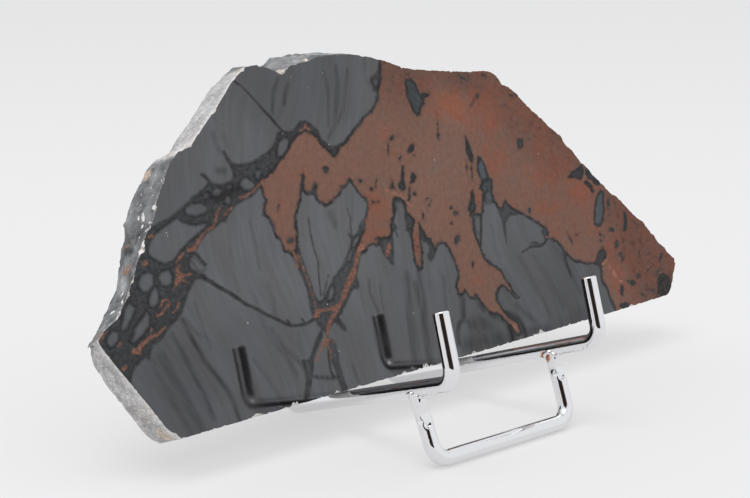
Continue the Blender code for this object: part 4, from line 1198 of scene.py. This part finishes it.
def fill(points, shapes):
    """The value of the last outline that holds each point, with a soft edge; the rest are 0."""
    value = np.zeros(len(points))
    for amount, corners in shapes:
        share = np.clip(area_depth(points, corners) / FILL_SOFT + 0.5, 0, 1)
        value += share * (amount - value)
    return value


def outline_depth(points, shape):
    return area_depth(points, shape[1])


def pattern(points):
    """The numbers that say what the stone is at each point (along, up)."""
    points = points - np.array(DRAWN_OFF) - points[:, :1] * np.array(DRAWN_STRETCH)
    hole = np.maximum(deepest(points, INCLUSIONS, outline_depth), deepest(points, SPOTS, spot_depth))
    mahogany = np.minimum(area_depth(points, MAHOGANY), -hole)
    pieces = deepest(points, GREY_PIECES, outline_depth) + PIECE_GROWTH
    network = np.minimum(deepest(points, NETWORK, outline_depth) - NETWORK_INSET, -2 * pieces)
    dusk = fill(points, NETWORK)
    for shapes, soft in ((GREY_PIECES, PIECE_SOFT), (SOFT_PIECES, SPLINTER_SOFT)):
        share = np.clip(deepest(points, shapes, outline_depth) / soft + 0.5, 0, 1)
        dusk += share * (1 - fill(points, shapes) - dusk)
    hearts = fill(points, INCLUSIONS)
    smoke = np.zeros(len(points))
    for strength, half, line in STREAKS:
        smoke = np.maximum(smoke, strength * np.exp(-(line_gap(points, line, False) / half) ** 2))
    made = {
        "mahogany": mahogany, "network": network, "smoke": smoke, "dusk": np.maximum(dusk, hearts),
        "line": deepest(points, STROKES, stroke_depth), "vein": deepest(points, VEINS, stroke_depth),
        "heart": np.clip(hole / HEART_SOFT, 0, 1), "glow": blend(points, SHEEN_AREAS, 3, SHEEN_REST),
        "bright": blend(points, AREAS, 3, AREA_REST), "red": blend(points, AREAS, 4, AREA_REST),
    }
    fleck = np.zeros(len(points))
    for along, up, size in FLECKS:
        gap = np.hypot(points[:, 0] - along, points[:, 1] - up)
        fleck = np.maximum(fleck, 1 - gap / (2 * size))
    made["fleck"] = fleck
    return made


def blend(points, areas, entry, rest):
    """A value of round soft areas, mixed where they overlap, fading to 0 away from them."""
    value = np.zeros(len(points))
    weight = np.full(len(points), rest)
    for area in areas:
        share = np.exp(-((points[:, 0] - area[0]) ** 2 + (points[:, 1] - area[1]) ** 2) / area[2] ** 2)
        value += share * area[entry]
        weight += share
    return value / weight


def layer_place(points):
    """Each point in the stone's leaning layers: across them, and up."""
    lean = np.zeros(len(points))
    weight = np.zeros(len(points))
    for along, up, slope in LAYERS:
        share = 1 / (LAYER_SPREAD + (points[:, 0] - along) ** 2 + (points[:, 1] - up) ** 2) ** 1.5
        lean += share * slope
        weight += share
    across = points[:, 0] - lean / weight * (points[:, 1] - LAYER_LEVEL)
    return np.column_stack((across, points[:, 1]))


def split_edges(shape, longest, wanted):
    """Halves the wanted edges until none is longer than the longest allowed."""
    for _ in range(SPLIT_ROUNDS):
        long = []
        for edge in shape.edges:
            first, second = edge.verts
            if edge.calc_length() > longest and wanted((first.co + second.co) / 2):
                long.append(edge)
        if not long:
            break
        bmesh.ops.subdivide_edges(shape, edges=long, cuts=1)
        bmesh.ops.triangulate(shape, faces=shape.faces[:])


def is_fine(middle):
    """Where the rim needs its finest mesh: along the polished edge and at the painted glints."""
    if middle.z > -FINE_DEPTH:
        return True
    for along, up, depth, size in GLINTS:
        if (middle - Vector((along, up, -depth))).length < size + GLINT_ROOM:
            return True
    return False


def open_rim():
    """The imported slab's rim in the slab's frame: welded, without its two flat faces, and finely split."""
    shape = bmesh.new()
    shape.from_mesh(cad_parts["slab"].data)
    bmesh.ops.remove_doubles(shape, verts=shape.verts[:], dist=WELD)
    shape.transform(slab_frame().inverted() @ Matrix.Scale(1 / MM, 4))
    flat = []
    for face in shape.faces:
        heights = [corner.co.z for corner in face.verts]
        if min(heights) > -ON_FACE or max(heights) < ON_FACE - THICKNESS:
            flat.append(face)
    bmesh.ops.delete(shape, geom=flat, context="FACES")
    split_edges(shape, RIM_EDGE, lambda middle: True)
    split_edges(shape, FINE_RIM, is_fine)
    shape.normal_update()
    return shape


def outward(shape):
    """At each point of the rim, the smoothed direction out of the slab, along its face."""
    outs = [Vector((point.normal.x, point.normal.y, 0.0)).normalized() for point in shape.verts]
    for _ in range(SMOOTH_ROUNDS):
        smooth = []
        for point, own in zip(shape.verts, outs):
            total = own.copy()
            for edge in point.link_edges:
                total += outs[edge.other_vert(point).index]
            smooth.append(total.normalized())
        outs = smooth
    return outs


def chip_bites(spots, outs):
    """How each point near the polished edge is bitten back, and how chipped it looks."""
    moved = np.zeros((len(spots), 3))
    shown = np.zeros(len(spots))
    for along, up, reach, most in CHIPS:
        gap = np.hypot(spots[:, 0] - along, spots[:, 1] - up)
        near = np.flatnonzero((gap < reach * 2) & (spots[:, 2] > -most * 1.6))
        out = sum((outs[index] for index in near), Vector()).normalized()
        for index in near:
            away = gap[index] / reach * (1 + 0.8 * noise.noise(Vector(spots[index]) * 2.1))
            down = -spots[index, 2] / (most * 1.25)
            if away < 1 and down < 1:
                crumb = 0.8 + 0.7 * noise.noise(Vector(spots[index]) * 3.3)
                bite = most * crumb * (1 - away * away) * (1 - down) ** 1.5
                if bite > np.linalg.norm(moved[index]):
                    moved[index] = out * -bite
            if away < 1.15 and down < 1.2:
                shown[index] = 1.0
    return moved, shown


def gap_to(spots, along, up, deep):
    """Each point's distance to a place on the rim."""
    return np.linalg.norm(spots - (along, up, -deep), axis=1)


def rim_zones(spots):
    """How sawn, crusted, creamy, frosted and powdery the rim is at each point, and how much painted glint it
    has.
    """
    zones = {name: np.zeros(len(spots)) for name in ("sawn", "crust", "cream", "glint", "frosted")}
    for line in SAW_CUTS:
        share = np.clip((SAW_REACH - line_gap(spots[:, :2], line, False)) / SAW_FADE, 0, 1)
        zones["sawn"] = np.maximum(zones["sawn"], share)
    for along, up, deep, reach, pale in CRUST:
        share = np.clip(1.25 - gap_to(spots, along, up, deep) / reach, 0, 1)
        zones["cream"] = np.where(share > zones["crust"], pale, zones["cream"])
        zones["crust"] = np.maximum(zones["crust"], share)
    # Painted glints: where white is painted into the rim, standing in for its highlights
    for along, up, deep, size in GLINTS:
        nearest = spots[np.argmin(gap_to(spots, along, up, deep))]
        gap = np.linalg.norm((spots - nearest) * GLINT_SHAPE, axis=1)
        zones["glint"] = np.maximum(zones["glint"], np.clip(1.3 - gap / size, 0, 1))
    for along, up, deep, reach, share in FROSTED:
        frost = share * np.clip(1.5 - 1.5 * gap_to(spots, along, up, deep) / reach, 0, 1)
        zones["frosted"] = np.maximum(zones["frosted"], frost)
    zones["powder"] = zones["sawn"] * np.clip(1 + spots[:, 2] / POWDER_DEPTH, 0, 1)
    return zones


def bumps(place, fineness_and_depth):
    """The depth of a noise at a place, never less than 0."""
    fineness, depth = fineness_and_depth
    return abs(noise.noise(place * fineness)) * depth


def relief(place, sawn, crust):
    """How far the rim rises at a place: scallops and ripples where it broke, grooves where it was sawn."""
    scallop = SWELL - bumps(place, SCALLOPS) - bumps(place, STEPS_ON_SCALLOPS)
    wave = (place.x * 0.8 + place.y * 1.1 + place.z * 1.7) * 1.9
    ripple = math.sin(wave + 3 * noise.noise(place * 0.2)) * RIPPLE
    fine = noise.noise(place * 2.3) * (0.045 + 0.16 * crust + 0.02 * sawn)
    pitch, height = GROOVES
    groove = math.sin(place.z * pitch + noise.noise(place * 0.3)) * height
    return scallop * (1 - 0.92 * sawn) + ripple * (1 - sawn) + fine + groove * sawn


def nick_depth(place, edge, is_sawn):
    """How far a place near the polish or the back is nicked, from its distance to their edge."""
    nick = max(0.0, noise.noise(place * 0.8 + Vector((9.0, 0.0, 0.0))) - 0.08)
    nick += max(0.0, noise.noise(place * 1.7 + Vector((0.0, 5.0, 0.0)))) * 0.5
    return nick * max(0.0, 1 - edge / NICK_BAND) * (SAWN_NICK if is_sawn else BROKEN_NICK)


def break_rim(shape, stone):
    """Breaks the rim's surface finely and gives the numbers that say what it is at each point."""
    spots = np.array([point.co[:] for point in shape.verts])
    zones = rim_zones(spots)
    normals = [point.normal.copy() for point in shape.verts]
    outs = outward(shape)
    bites, chips = chip_bites(spots, outs)
    for index, point in enumerate(shape.verts):
        place = point.co.copy()
        depth = -place.z
        sawn = zones["sawn"][index]
        is_sawn = sawn > 0.5
        edge = min(depth, THICKNESS - depth)
        calm = min(1.0, max(0.0, edge) / CALM_EDGE)
        rise = relief(place, sawn, zones["crust"][index]) * calm * stone.roughness_of_rim
        nick = nick_depth(place, edge, is_sawn)
        point.co += normals[index] * rise
        point.co += Vector(bites[index]) - outs[index] * nick * 0.7 * stone.roughness_of_rim
        pale = 0.9 if is_sawn else 0.5 if place.x < PALE_EDGE_END else 0.0
        near_front = max(0.0, 1 - depth / (0.8 if is_sawn else 0.4))
        nicked = min(1.0, nick * 1.8) * max(0.0, 1 - depth / 1.2)
        chips[index] = max(chips[index], near_front * pale, nicked * pale)
    return {**zones, "chip": chips}


def rim_loop(shape, height):
    """The rim's open edge at a height, as indices in order round the slab."""
    following = {}
    for edge in shape.edges:
        if edge.is_boundary and all(abs(point.co.z - height) < ON_FACE * 2 for point in edge.verts):
            for point, other in (edge.verts, reversed(edge.verts)):
                following.setdefault(point.index, []).append(other.index)
    first = min(following)
    loop = [first]
    before = None
    while True:
        options = [spot for spot in following[loop[-1]] if spot != before]
        before = loop[-1]
        if options[0] == first:
            return loop
        loop.append(options[0])


def lattice(low, high, step):
    """A regular field of points in rows, every other row shifted by half a step."""
    rows = np.arange(low[1], high[1], step * math.sqrt(3) / 2)
    columns = np.arange(low[0], high[0], step)
    field = np.array([(x + step / 2 * (row % 2), y) for row, y in enumerate(rows) for x in columns])
    return field


def is_busy(made):
    """Which points are near a line of the pattern."""
    near = np.minimum(np.abs(made["mahogany"]), np.abs(made["network"]))
    drawn = np.maximum(made["vein"], made["line"])
    return (near < NEAR_LINE) | (drawn > -NEAR_LINE) | (made["fleck"] > -0.6)


def cap_points(border, step, fine, drift):
    """Points inside a border: even ones, and a finer field along the lines of the pattern."""
    low, high = border.min(0), border.max(0)
    field = lattice(low, high, step)
    if fine:
        close = lattice(low, high, fine)
        busy = is_busy(pattern(close + drift))
        calm = ~is_busy(pattern(field + drift))
        centres = np.array([(along, up) for along, up, _ in FLECKS]) + np.array(DRAWN_OFF)
        field = np.vstack((field[calm], close[busy], centres))
    clear = within(field, [tuple(corner) for corner in border])
    clear &= line_gap(field, border, True) > EDGE_CLEAR
    return field[clear]


def cap(border, inner):
    """Triangles over a border and the points inside it, as indices into border then inner."""
    count = len(border)
    spots = [Vector(spot) for spot in border] + [Vector(spot) for spot in inner]
    edges = [(index, (index + 1) % count) for index in range(count)]
    found = delaunay_2d_cdt(spots, edges, [], 1, WELD)
    faces, origins = found[2], found[3]
    source = [origin[0] if origin else None for origin in origins]
    if None in source:
        raise RuntimeError("the cap's border crosses itself")
    return [tuple(source[corner] for corner in face) for face in faces]


def make_stone(stone):
    """The dressed slab: fine rim, polished face and sawn back, with the stone's pattern."""
    shape = open_rim()
    shape.verts.ensure_lookup_table()
    front = rim_loop(shape, 0.0)
    back = rim_loop(shape, -THICKNESS)
    zones = break_rim(shape, stone)
    points = [point.co.copy() for point in shape.verts]
    faces = [tuple(corner.index for corner in face.verts) for face in shape.faces]
    shape.free()
    slots = [1] * len(faces)
    fine = FINE_STEP
    caps = ((front, 0.0, 0, FACE_STEP, fine), (back, -THICKNESS, 2, BACK_STEP, BACK_FINE_STEP))
    for loop, height, slot, step, detail in caps:
        drift = np.array((stone.drift_along, stone.drift_up)) * -height
        border = np.array([points[index][:2] for index in loop])
        if sum(a[0] * b[1] - b[0] * a[1] for a, b in zip(border, np.roll(border, -1, axis=0))) < 0:
            loop = loop[::-1]
            border = border[::-1]
        inner = cap_points(border, step, detail, drift)
        first = len(points)
        points += [Vector((spot[0], spot[1], height)) for spot in inner]
        index = loop + list(range(first, len(points)))
        for face in cap(border, inner):
            face = tuple(index[corner] for corner in face)
            faces.append(face if slot == 0 else face[::-1])
            slots.append(slot)
    spots = np.array([point[:] for point in points])
    place = slab_frame()
    materials = [make_polish(stone), make_rim(stone), make_sawn_back(stone)]
    piece = add_piece("obsidian_slab", [place @ point for point in points], faces, materials, slots)
    mesh = piece.data
    depth = -spots[:, 2]
    moved = spots[:, :2] + depth[:, None] * np.array((stone.drift_along, stone.drift_up))
    for name, values in pattern(moved).items():
        keep_numbers(mesh, name, values)
    for name, values in zones.items():
        keep_numbers(mesh, name, np.concatenate((values, np.zeros(len(points) - len(values)))))
    keep_vectors(mesh, "place", np.column_stack((moved, depth)))
    keep_vectors(mesh, "layers", np.column_stack((layer_place(moved), depth)))
    mesh.set_sharp_from_angle(angle=SHARP_STONE)
    mark_face_edges(mesh)
    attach(piece, "root")
    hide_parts("slab")
    return piece


def mark_face_edges(mesh):
    """Marks the edges between the rim and the two flat faces sharp, so that the polish stays flat."""
    kinds = {}
    for face in mesh.polygons:
        for key in face.edge_keys:
            kinds.setdefault(key, set()).add(face.material_index)
    for edge in mesh.edges:
        if len(kinds.get(edge.key, ())) > 1:
            edge.use_edge_sharp = True


# Properties


class StoneSettings(bpy.types.PropertyGroup):
    """The stone's colours and finish"""

    sheen_cool: bpy.props.FloatVectorProperty(
        name="Silver sheen", description="Reflected colour of the grey glass",
        default=(0.121, 0.124, 0.133), subtype="COLOR", min=0.0, max=1.0)
    sheen_warm: bpy.props.FloatVectorProperty(
        name="Warm sheen", description="Reflected colour of the grey glass in its paler layers",
        default=(0.124, 0.123, 0.124), subtype="COLOR", min=0.0, max=1.0)
    heart_tint: bpy.props.FloatVectorProperty(
        name="Blue hearts", description="Tint of the grey glass inside the dark inclusions",
        default=(0.88, 0.98, 1.0), subtype="COLOR", min=0.0, max=1.0)
    heart_warm: bpy.props.FloatVectorProperty(
        name="Brown hearts", description="Tint of the grey glass inside the darkest inclusions",
        default=(1.0, 0.87, 0.79), subtype="COLOR", min=0.0, max=1.0)
    glass: bpy.props.FloatVectorProperty(
        name="Black glass", description="Colour of the clear black glass",
        default=(0.006, 0.006, 0.007), subtype="COLOR", min=0.0, max=1.0)
    mahogany: bpy.props.FloatVectorProperty(
        name="Mahogany", description="Colour of the brown glass",
        default=(0.170, 0.082, 0.056), subtype="COLOR", min=0.0, max=1.0)
    mahogany_red: bpy.props.FloatVectorProperty(
        name="Red mahogany", description="Colour of the reddest brown glass",
        default=(0.196, 0.064, 0.034), subtype="COLOR", min=0.0, max=1.0)
    mahogany_pale: bpy.props.FloatVectorProperty(
        name="Pale mahogany", description="Colour of the greyest brown glass",
        default=(0.164, 0.095, 0.070), subtype="COLOR", min=0.0, max=1.0)
    vein: bpy.props.FloatVectorProperty(
        name="Orange vein", description="Colour of the orange veins",
        default=(0.212, 0.088, 0.054), subtype="COLOR", min=0.0, max=1.0)
    fleck: bpy.props.FloatVectorProperty(
        name="Pale fleck", description="Colour of the pale flecks and the chipped edge",
        default=(0.60, 0.56, 0.53), subtype="COLOR", min=0.0, max=1.0)
    chip: bpy.props.FloatVectorProperty(
        name="Chips", description="Colour of the chips along the polished edge",
        default=(0.78, 0.71, 0.68), subtype="COLOR", min=0.0, max=1.0)
    # Painted glints: white painted into the broken glass for its highlights; also the white of the saw's
    # powder
    glint: bpy.props.FloatVectorProperty(
        name="Glints", description="Colour of the white glints in the broken glass",
        default=(0.90, 0.88, 0.86), subtype="COLOR", min=0.0, max=1.0)
    sawn: bpy.props.FloatVectorProperty(
        name="Sawn glass", description="Colour of the frosted sawn glass",
        default=(0.46, 0.463, 0.468), subtype="COLOR", min=0.0, max=1.0)
    sawn_warm: bpy.props.FloatVectorProperty(
        name="Warm sawn glass", description="Colour of the frosted sawn glass where it is warmest",
        default=(0.49, 0.468, 0.455), subtype="COLOR", min=0.0, max=1.0)
    crust: bpy.props.FloatVectorProperty(
        name="Crust", description="Colour of the weathered crust",
        default=(0.28, 0.175, 0.125), subtype="COLOR", min=0.0, max=1.0)
    cream: bpy.props.FloatVectorProperty(
        name="Cream crust", description="Colour of the palest crust",
        default=(0.56, 0.49, 0.41), subtype="COLOR", min=0.0, max=1.0)
    polish: bpy.props.FloatProperty(
        name="Polish", description="Roughness of the polished face",
        default=0.04, min=0.0, max=1.0, subtype="FACTOR")
    glass_gloss: bpy.props.FloatProperty(
        name="Gloss of the glass", description="Strength of the reflection on brown and black glass",
        default=0.30, min=0.0, max=1.0, subtype="FACTOR")
    sheen_share: bpy.props.FloatProperty(
        name="Sheen", description="How much the grey glass reflects as a metal does",
        default=0.92, min=0.0, max=1.0, subtype="FACTOR")
    roughness_of_rim: bpy.props.FloatProperty(
        name="Roughness of the rim", description="Height of the broken rim's relief, against the real one",
        default=1.0, min=0.0, max=2.0, subtype="FACTOR")
    drift_along: bpy.props.FloatProperty(
        name="Drift along", description="How far the pattern moves along for each millimetre into the stone",
        default=0.15, min=-1.0, max=1.0)
    drift_up: bpy.props.FloatProperty(
        name="Drift up", description="How far the pattern moves up for each millimetre into the stone",
        default=0.10, min=-1.0, max=1.0)


class StandSettings(bpy.types.PropertyGroup):
    """The rods' finish"""

    chrome: bpy.props.FloatVectorProperty(
        name="Chrome", description="Colour of the plating",
        default=(0.80, 0.80, 0.81), subtype="COLOR", min=0.0, max=1.0)
    heat_tint: bpy.props.FloatVectorProperty(
        name="Weld tint", description="Colour of the plating beside the welds",
        default=(0.45, 0.42, 0.40), subtype="COLOR", min=0.0, max=1.0)
    rust: bpy.props.FloatVectorProperty(
        name="Rust", description="Colour of the small rust stain",
        default=(0.38, 0.13, 0.04), subtype="COLOR", min=0.0, max=1.0)
    polish: bpy.props.FloatProperty(
        name="Polish", description="Roughness of the plating",
        default=0.05, min=0.0, max=1.0, subtype="FACTOR")
    end_round: bpy.props.FloatProperty(
        name="End round", description="Round-over of the posts' cut ends, in millimetres",
        default=0.45, min=0.05, max=1.9)


class StudioSettings(bpy.types.PropertyGroup):
    """The floor and the light"""

    floor: bpy.props.FloatVectorProperty(
        name="Floor", description="Colour of the floor",
        default=(0.38, 0.378, 0.38), subtype="COLOR", min=0.0, max=1.0)
    floor_glow: bpy.props.FloatProperty(
        name="Floor glow", description="Light that comes up through the floor, which softens the shadows",
        default=0.45, min=0.0, max=2.0)
    floor_size: bpy.props.FloatProperty(
        name="Floor size", description="Side of the square floor",
        default=16.0, min=1.0, max=50.0, unit="LENGTH")
    sky: bpy.props.FloatVectorProperty(
        name="Surroundings", description="Colour of the light all round",
        default=(0.97, 0.98, 1.0), subtype="COLOR", min=0.0, max=1.0)
    sky_light: bpy.props.FloatProperty(
        name="Light all round", description="Strength of the light all round",
        default=0.95, min=0.0, max=5.0)
    dark: bpy.props.FloatVectorProperty(
        name="Dark opening", description="Colour of the dark opening that the bright metal mirrors",
        default=(0.030, 0.020, 0.016), subtype="COLOR", min=0.0, max=1.0)
    dark_reach: bpy.props.FloatProperty(
        name="Dark reach", description="Half the angle that the dark opening takes up",
        default=math.radians(29), min=0.0, max=math.pi, subtype="ANGLE")
    key_light: bpy.props.FloatProperty(
        name="Soft key light", description="Power of the soft light above",
        default=6.0, min=0.0, max=500.0, unit="POWER")


# Operators


class OBSIDIAN_OT_rods(bpy.types.Operator):
    """Bend the stand's two chrome rods and weld them"""

    bl_idname = "obsidian.rods"
    bl_label = "Bend the rods"

    def execute(self, context):
        stand = context.scene.stand_settings
        chrome = make_chrome(stand)
        left, right = SIDES["left"], SIDES["right"]
        rest = [Vector((rear_corner(side).x, REST_Y, REST_HEIGHT)) for side in (left, right)]
        corners = [
            post_top(left), front_corner(left), rear_corner(left), rest[0],
            rest[1], rear_corner(right), front_corner(right), post_top(right),
        ]
        radii = [POST_BEND, REAR_BEND, REST_BEND, REST_BEND, REAR_BEND, POST_BEND]
        path, radii = rounded_ends(rounded_path(corners, radii), ROD / 2, stand.end_round)
        dress_rod("cradle_rod", "cradle", path, radii, chrome)
        corners = [foot_top(left), foot_corner(left), foot_corner(right), foot_top(right)]
        path = rounded_path(corners, [FOOT_BEND, FOOT_BEND], FOOT_STEP)
        dress_rod("foot_rod", "front_foot", path, [ROD / 2] * len(path), chrome)
        for key, side in SIDES.items():
            points, faces = bead(weld_line(side), BEAD)
            piece = add_piece(f"weld_{key}", [point + STAND for point in points], faces, [chrome])
            keep_vectors(piece.data, "place", [tuple(point) for point in points])
            keep_numbers(piece.data, "heat", [BEAD_HEAT] * len(points))
            keep_numbers(piece.data, "rust", [0.0] * len(points))
            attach(piece, "root")
        return {"FINISHED"}


class OBSIDIAN_OT_stone(bpy.types.Operator):
    """Polish the slab's face, break its rim and draw the stone's pattern"""

    bl_idname = "obsidian.stone"
    bl_label = "Dress the stone"

    def execute(self, context):
        make_stone(context.scene.stone_settings)
        return {"FINISHED"}


class OBSIDIAN_OT_stage(bpy.types.Operator):
    """Set up the pale floor, the soft light and the camera"""

    bl_idname = "obsidian.stage"
    bl_label = "Set up the stage"

    def execute(self, context):
        studio = context.scene.studio_settings
        half = studio.floor_size / 2
        mesh = bpy.data.meshes.new("floor")
        corners = [(-half, -half, 0), (half, -half, 0), (half, half, 0), (-half, half, 0)]
        mesh.from_pydata(corners, [], [(0, 1, 2, 3)])
        floor = bpy.data.objects.new("floor", mesh)
        context.scene.collection.objects.link(floor)
        material, nodes, shader = new_finish("pale_floor")
        shader.inputs["Base Color"].default_value = (*studio.floor, 1.0)
        shader.inputs["Emission Color"].default_value = (1.0, 1.0, 1.0, 1.0)
        shader.inputs["Emission Strength"].default_value = studio.floor_glow
        shader.inputs["Roughness"].default_value = 0.9
        shader.inputs["Specular IOR Level"].default_value = 0.0
        mesh.materials.append(material)
        self.surround(context.scene, studio)
        self.light(context.scene, studio)
        self.camera(context.scene)
        context.scene.view_settings.view_transform = "Standard"
        return {"FINISHED"}

    def surround(self, scene, studio):
        """White light from all round, with a dark opening low in front of the stone's left side."""
        world = bpy.data.worlds.new("soft_surroundings")
        world.use_nodes = True
        scene.world = world
        nodes = Nodes(world.node_tree)
        toward = Vector((math.sin(CAMERA_TURN), -math.cos(CAMERA_TURN), DARK_RISE)).normalized()
        look = nodes.add("ShaderNodeTexCoord")
        settings = {"operation": "DOT_PRODUCT"}
        facing = nodes.add("ShaderNodeVectorMath", settings, {0: look, 1: tuple(toward)}, 1)
        outer, inner = studio.dark_reach + DARK_SOFT, studio.dark_reach - DARK_SOFT
        dark = facing.step(math.cos(outer), math.cos(inner))
        background = world.node_tree.nodes["Background"]
        nodes.feed(background.inputs["Color"], nodes.mix(dark, studio.sky, studio.dark))
        background.inputs["Strength"].default_value = studio.sky_light

    def light(self, scene, studio):
        data = bpy.data.lights.new("soft_key", "AREA")
        data.energy = studio.key_light
        data.shape = "RECTANGLE"
        data.size, data.size_y = KEY_SIDES
        key = bpy.data.objects.new("soft_key", data)
        key.location = KEY_PLACE
        key.rotation_euler = (Vector(KEY_AIM) - key.location).to_track_quat("-Z", "Y").to_euler()
        scene.collection.objects.link(key)

    def camera(self, scene):
        data = bpy.data.cameras.new("camera")
        data.lens = CAMERA_LENS
        data.sensor_width = SENSOR
        data.clip_start = NEAR_CLIP
        camera = bpy.data.objects.new("camera", data)
        turn, dip = CAMERA_TURN, CAMERA_DIP
        forward = Vector((-math.sin(turn) * math.cos(dip), math.cos(turn) * math.cos(dip), -math.sin(dip)))
        right = Vector((math.cos(turn), math.sin(turn), 0.0))
        upright = Matrix((right, right.cross(forward), -forward)).transposed()
        roll = Matrix.Rotation(CAMERA_ROLL, 3, "Z")
        camera.matrix_world = Matrix.Translation((CAMERA_PLACE + STAND) * MM) @ (upright @ roll).to_4x4()
        scene.collection.objects.link(camera)
        scene.camera = camera


class OBSIDIAN_PT_panel(bpy.types.Panel):
    """The slab, its stand and the stage"""

    bl_idname = "OBSIDIAN_PT_panel"
    bl_label = "Obsidian slab"
    bl_space_type = "VIEW_3D"
    bl_region_type = "UI"
    bl_category = "Obsidian"

    def draw(self, context):
        for operator, settings in STEPS:
            box = self.layout.box()
            box.operator(operator.bl_idname)
            group = getattr(context.scene, settings)
            for name in group.__annotations__:
                box.prop(group, name)


STEPS = (
    (OBSIDIAN_OT_rods, "stand_settings"),
    (OBSIDIAN_OT_stone, "stone_settings"),
    (OBSIDIAN_OT_stage, "studio_settings"),
)
GROUPS = {"stone_settings": StoneSettings, "stand_settings": StandSettings, "studio_settings": StudioSettings}
CLASSES = (*GROUPS.values(), OBSIDIAN_OT_rods, OBSIDIAN_OT_stone, OBSIDIAN_OT_stage, OBSIDIAN_PT_panel)


def register():
    for kind in CLASSES:
        bpy.utils.register_class(kind)
    for name, group in GROUPS.items():
        setattr(bpy.types.Scene, name, bpy.props.PointerProperty(type=group))


def unregister():
    for name in GROUPS:
        delattr(bpy.types.Scene, name)
    for kind in reversed(CLASSES):
        bpy.utils.unregister_class(kind)


def main():
    register()
    bpy.ops.obsidian.rods()
    bpy.ops.obsidian.stone()
    bpy.ops.obsidian.stage()


if __name__ == "__main__":
    main()
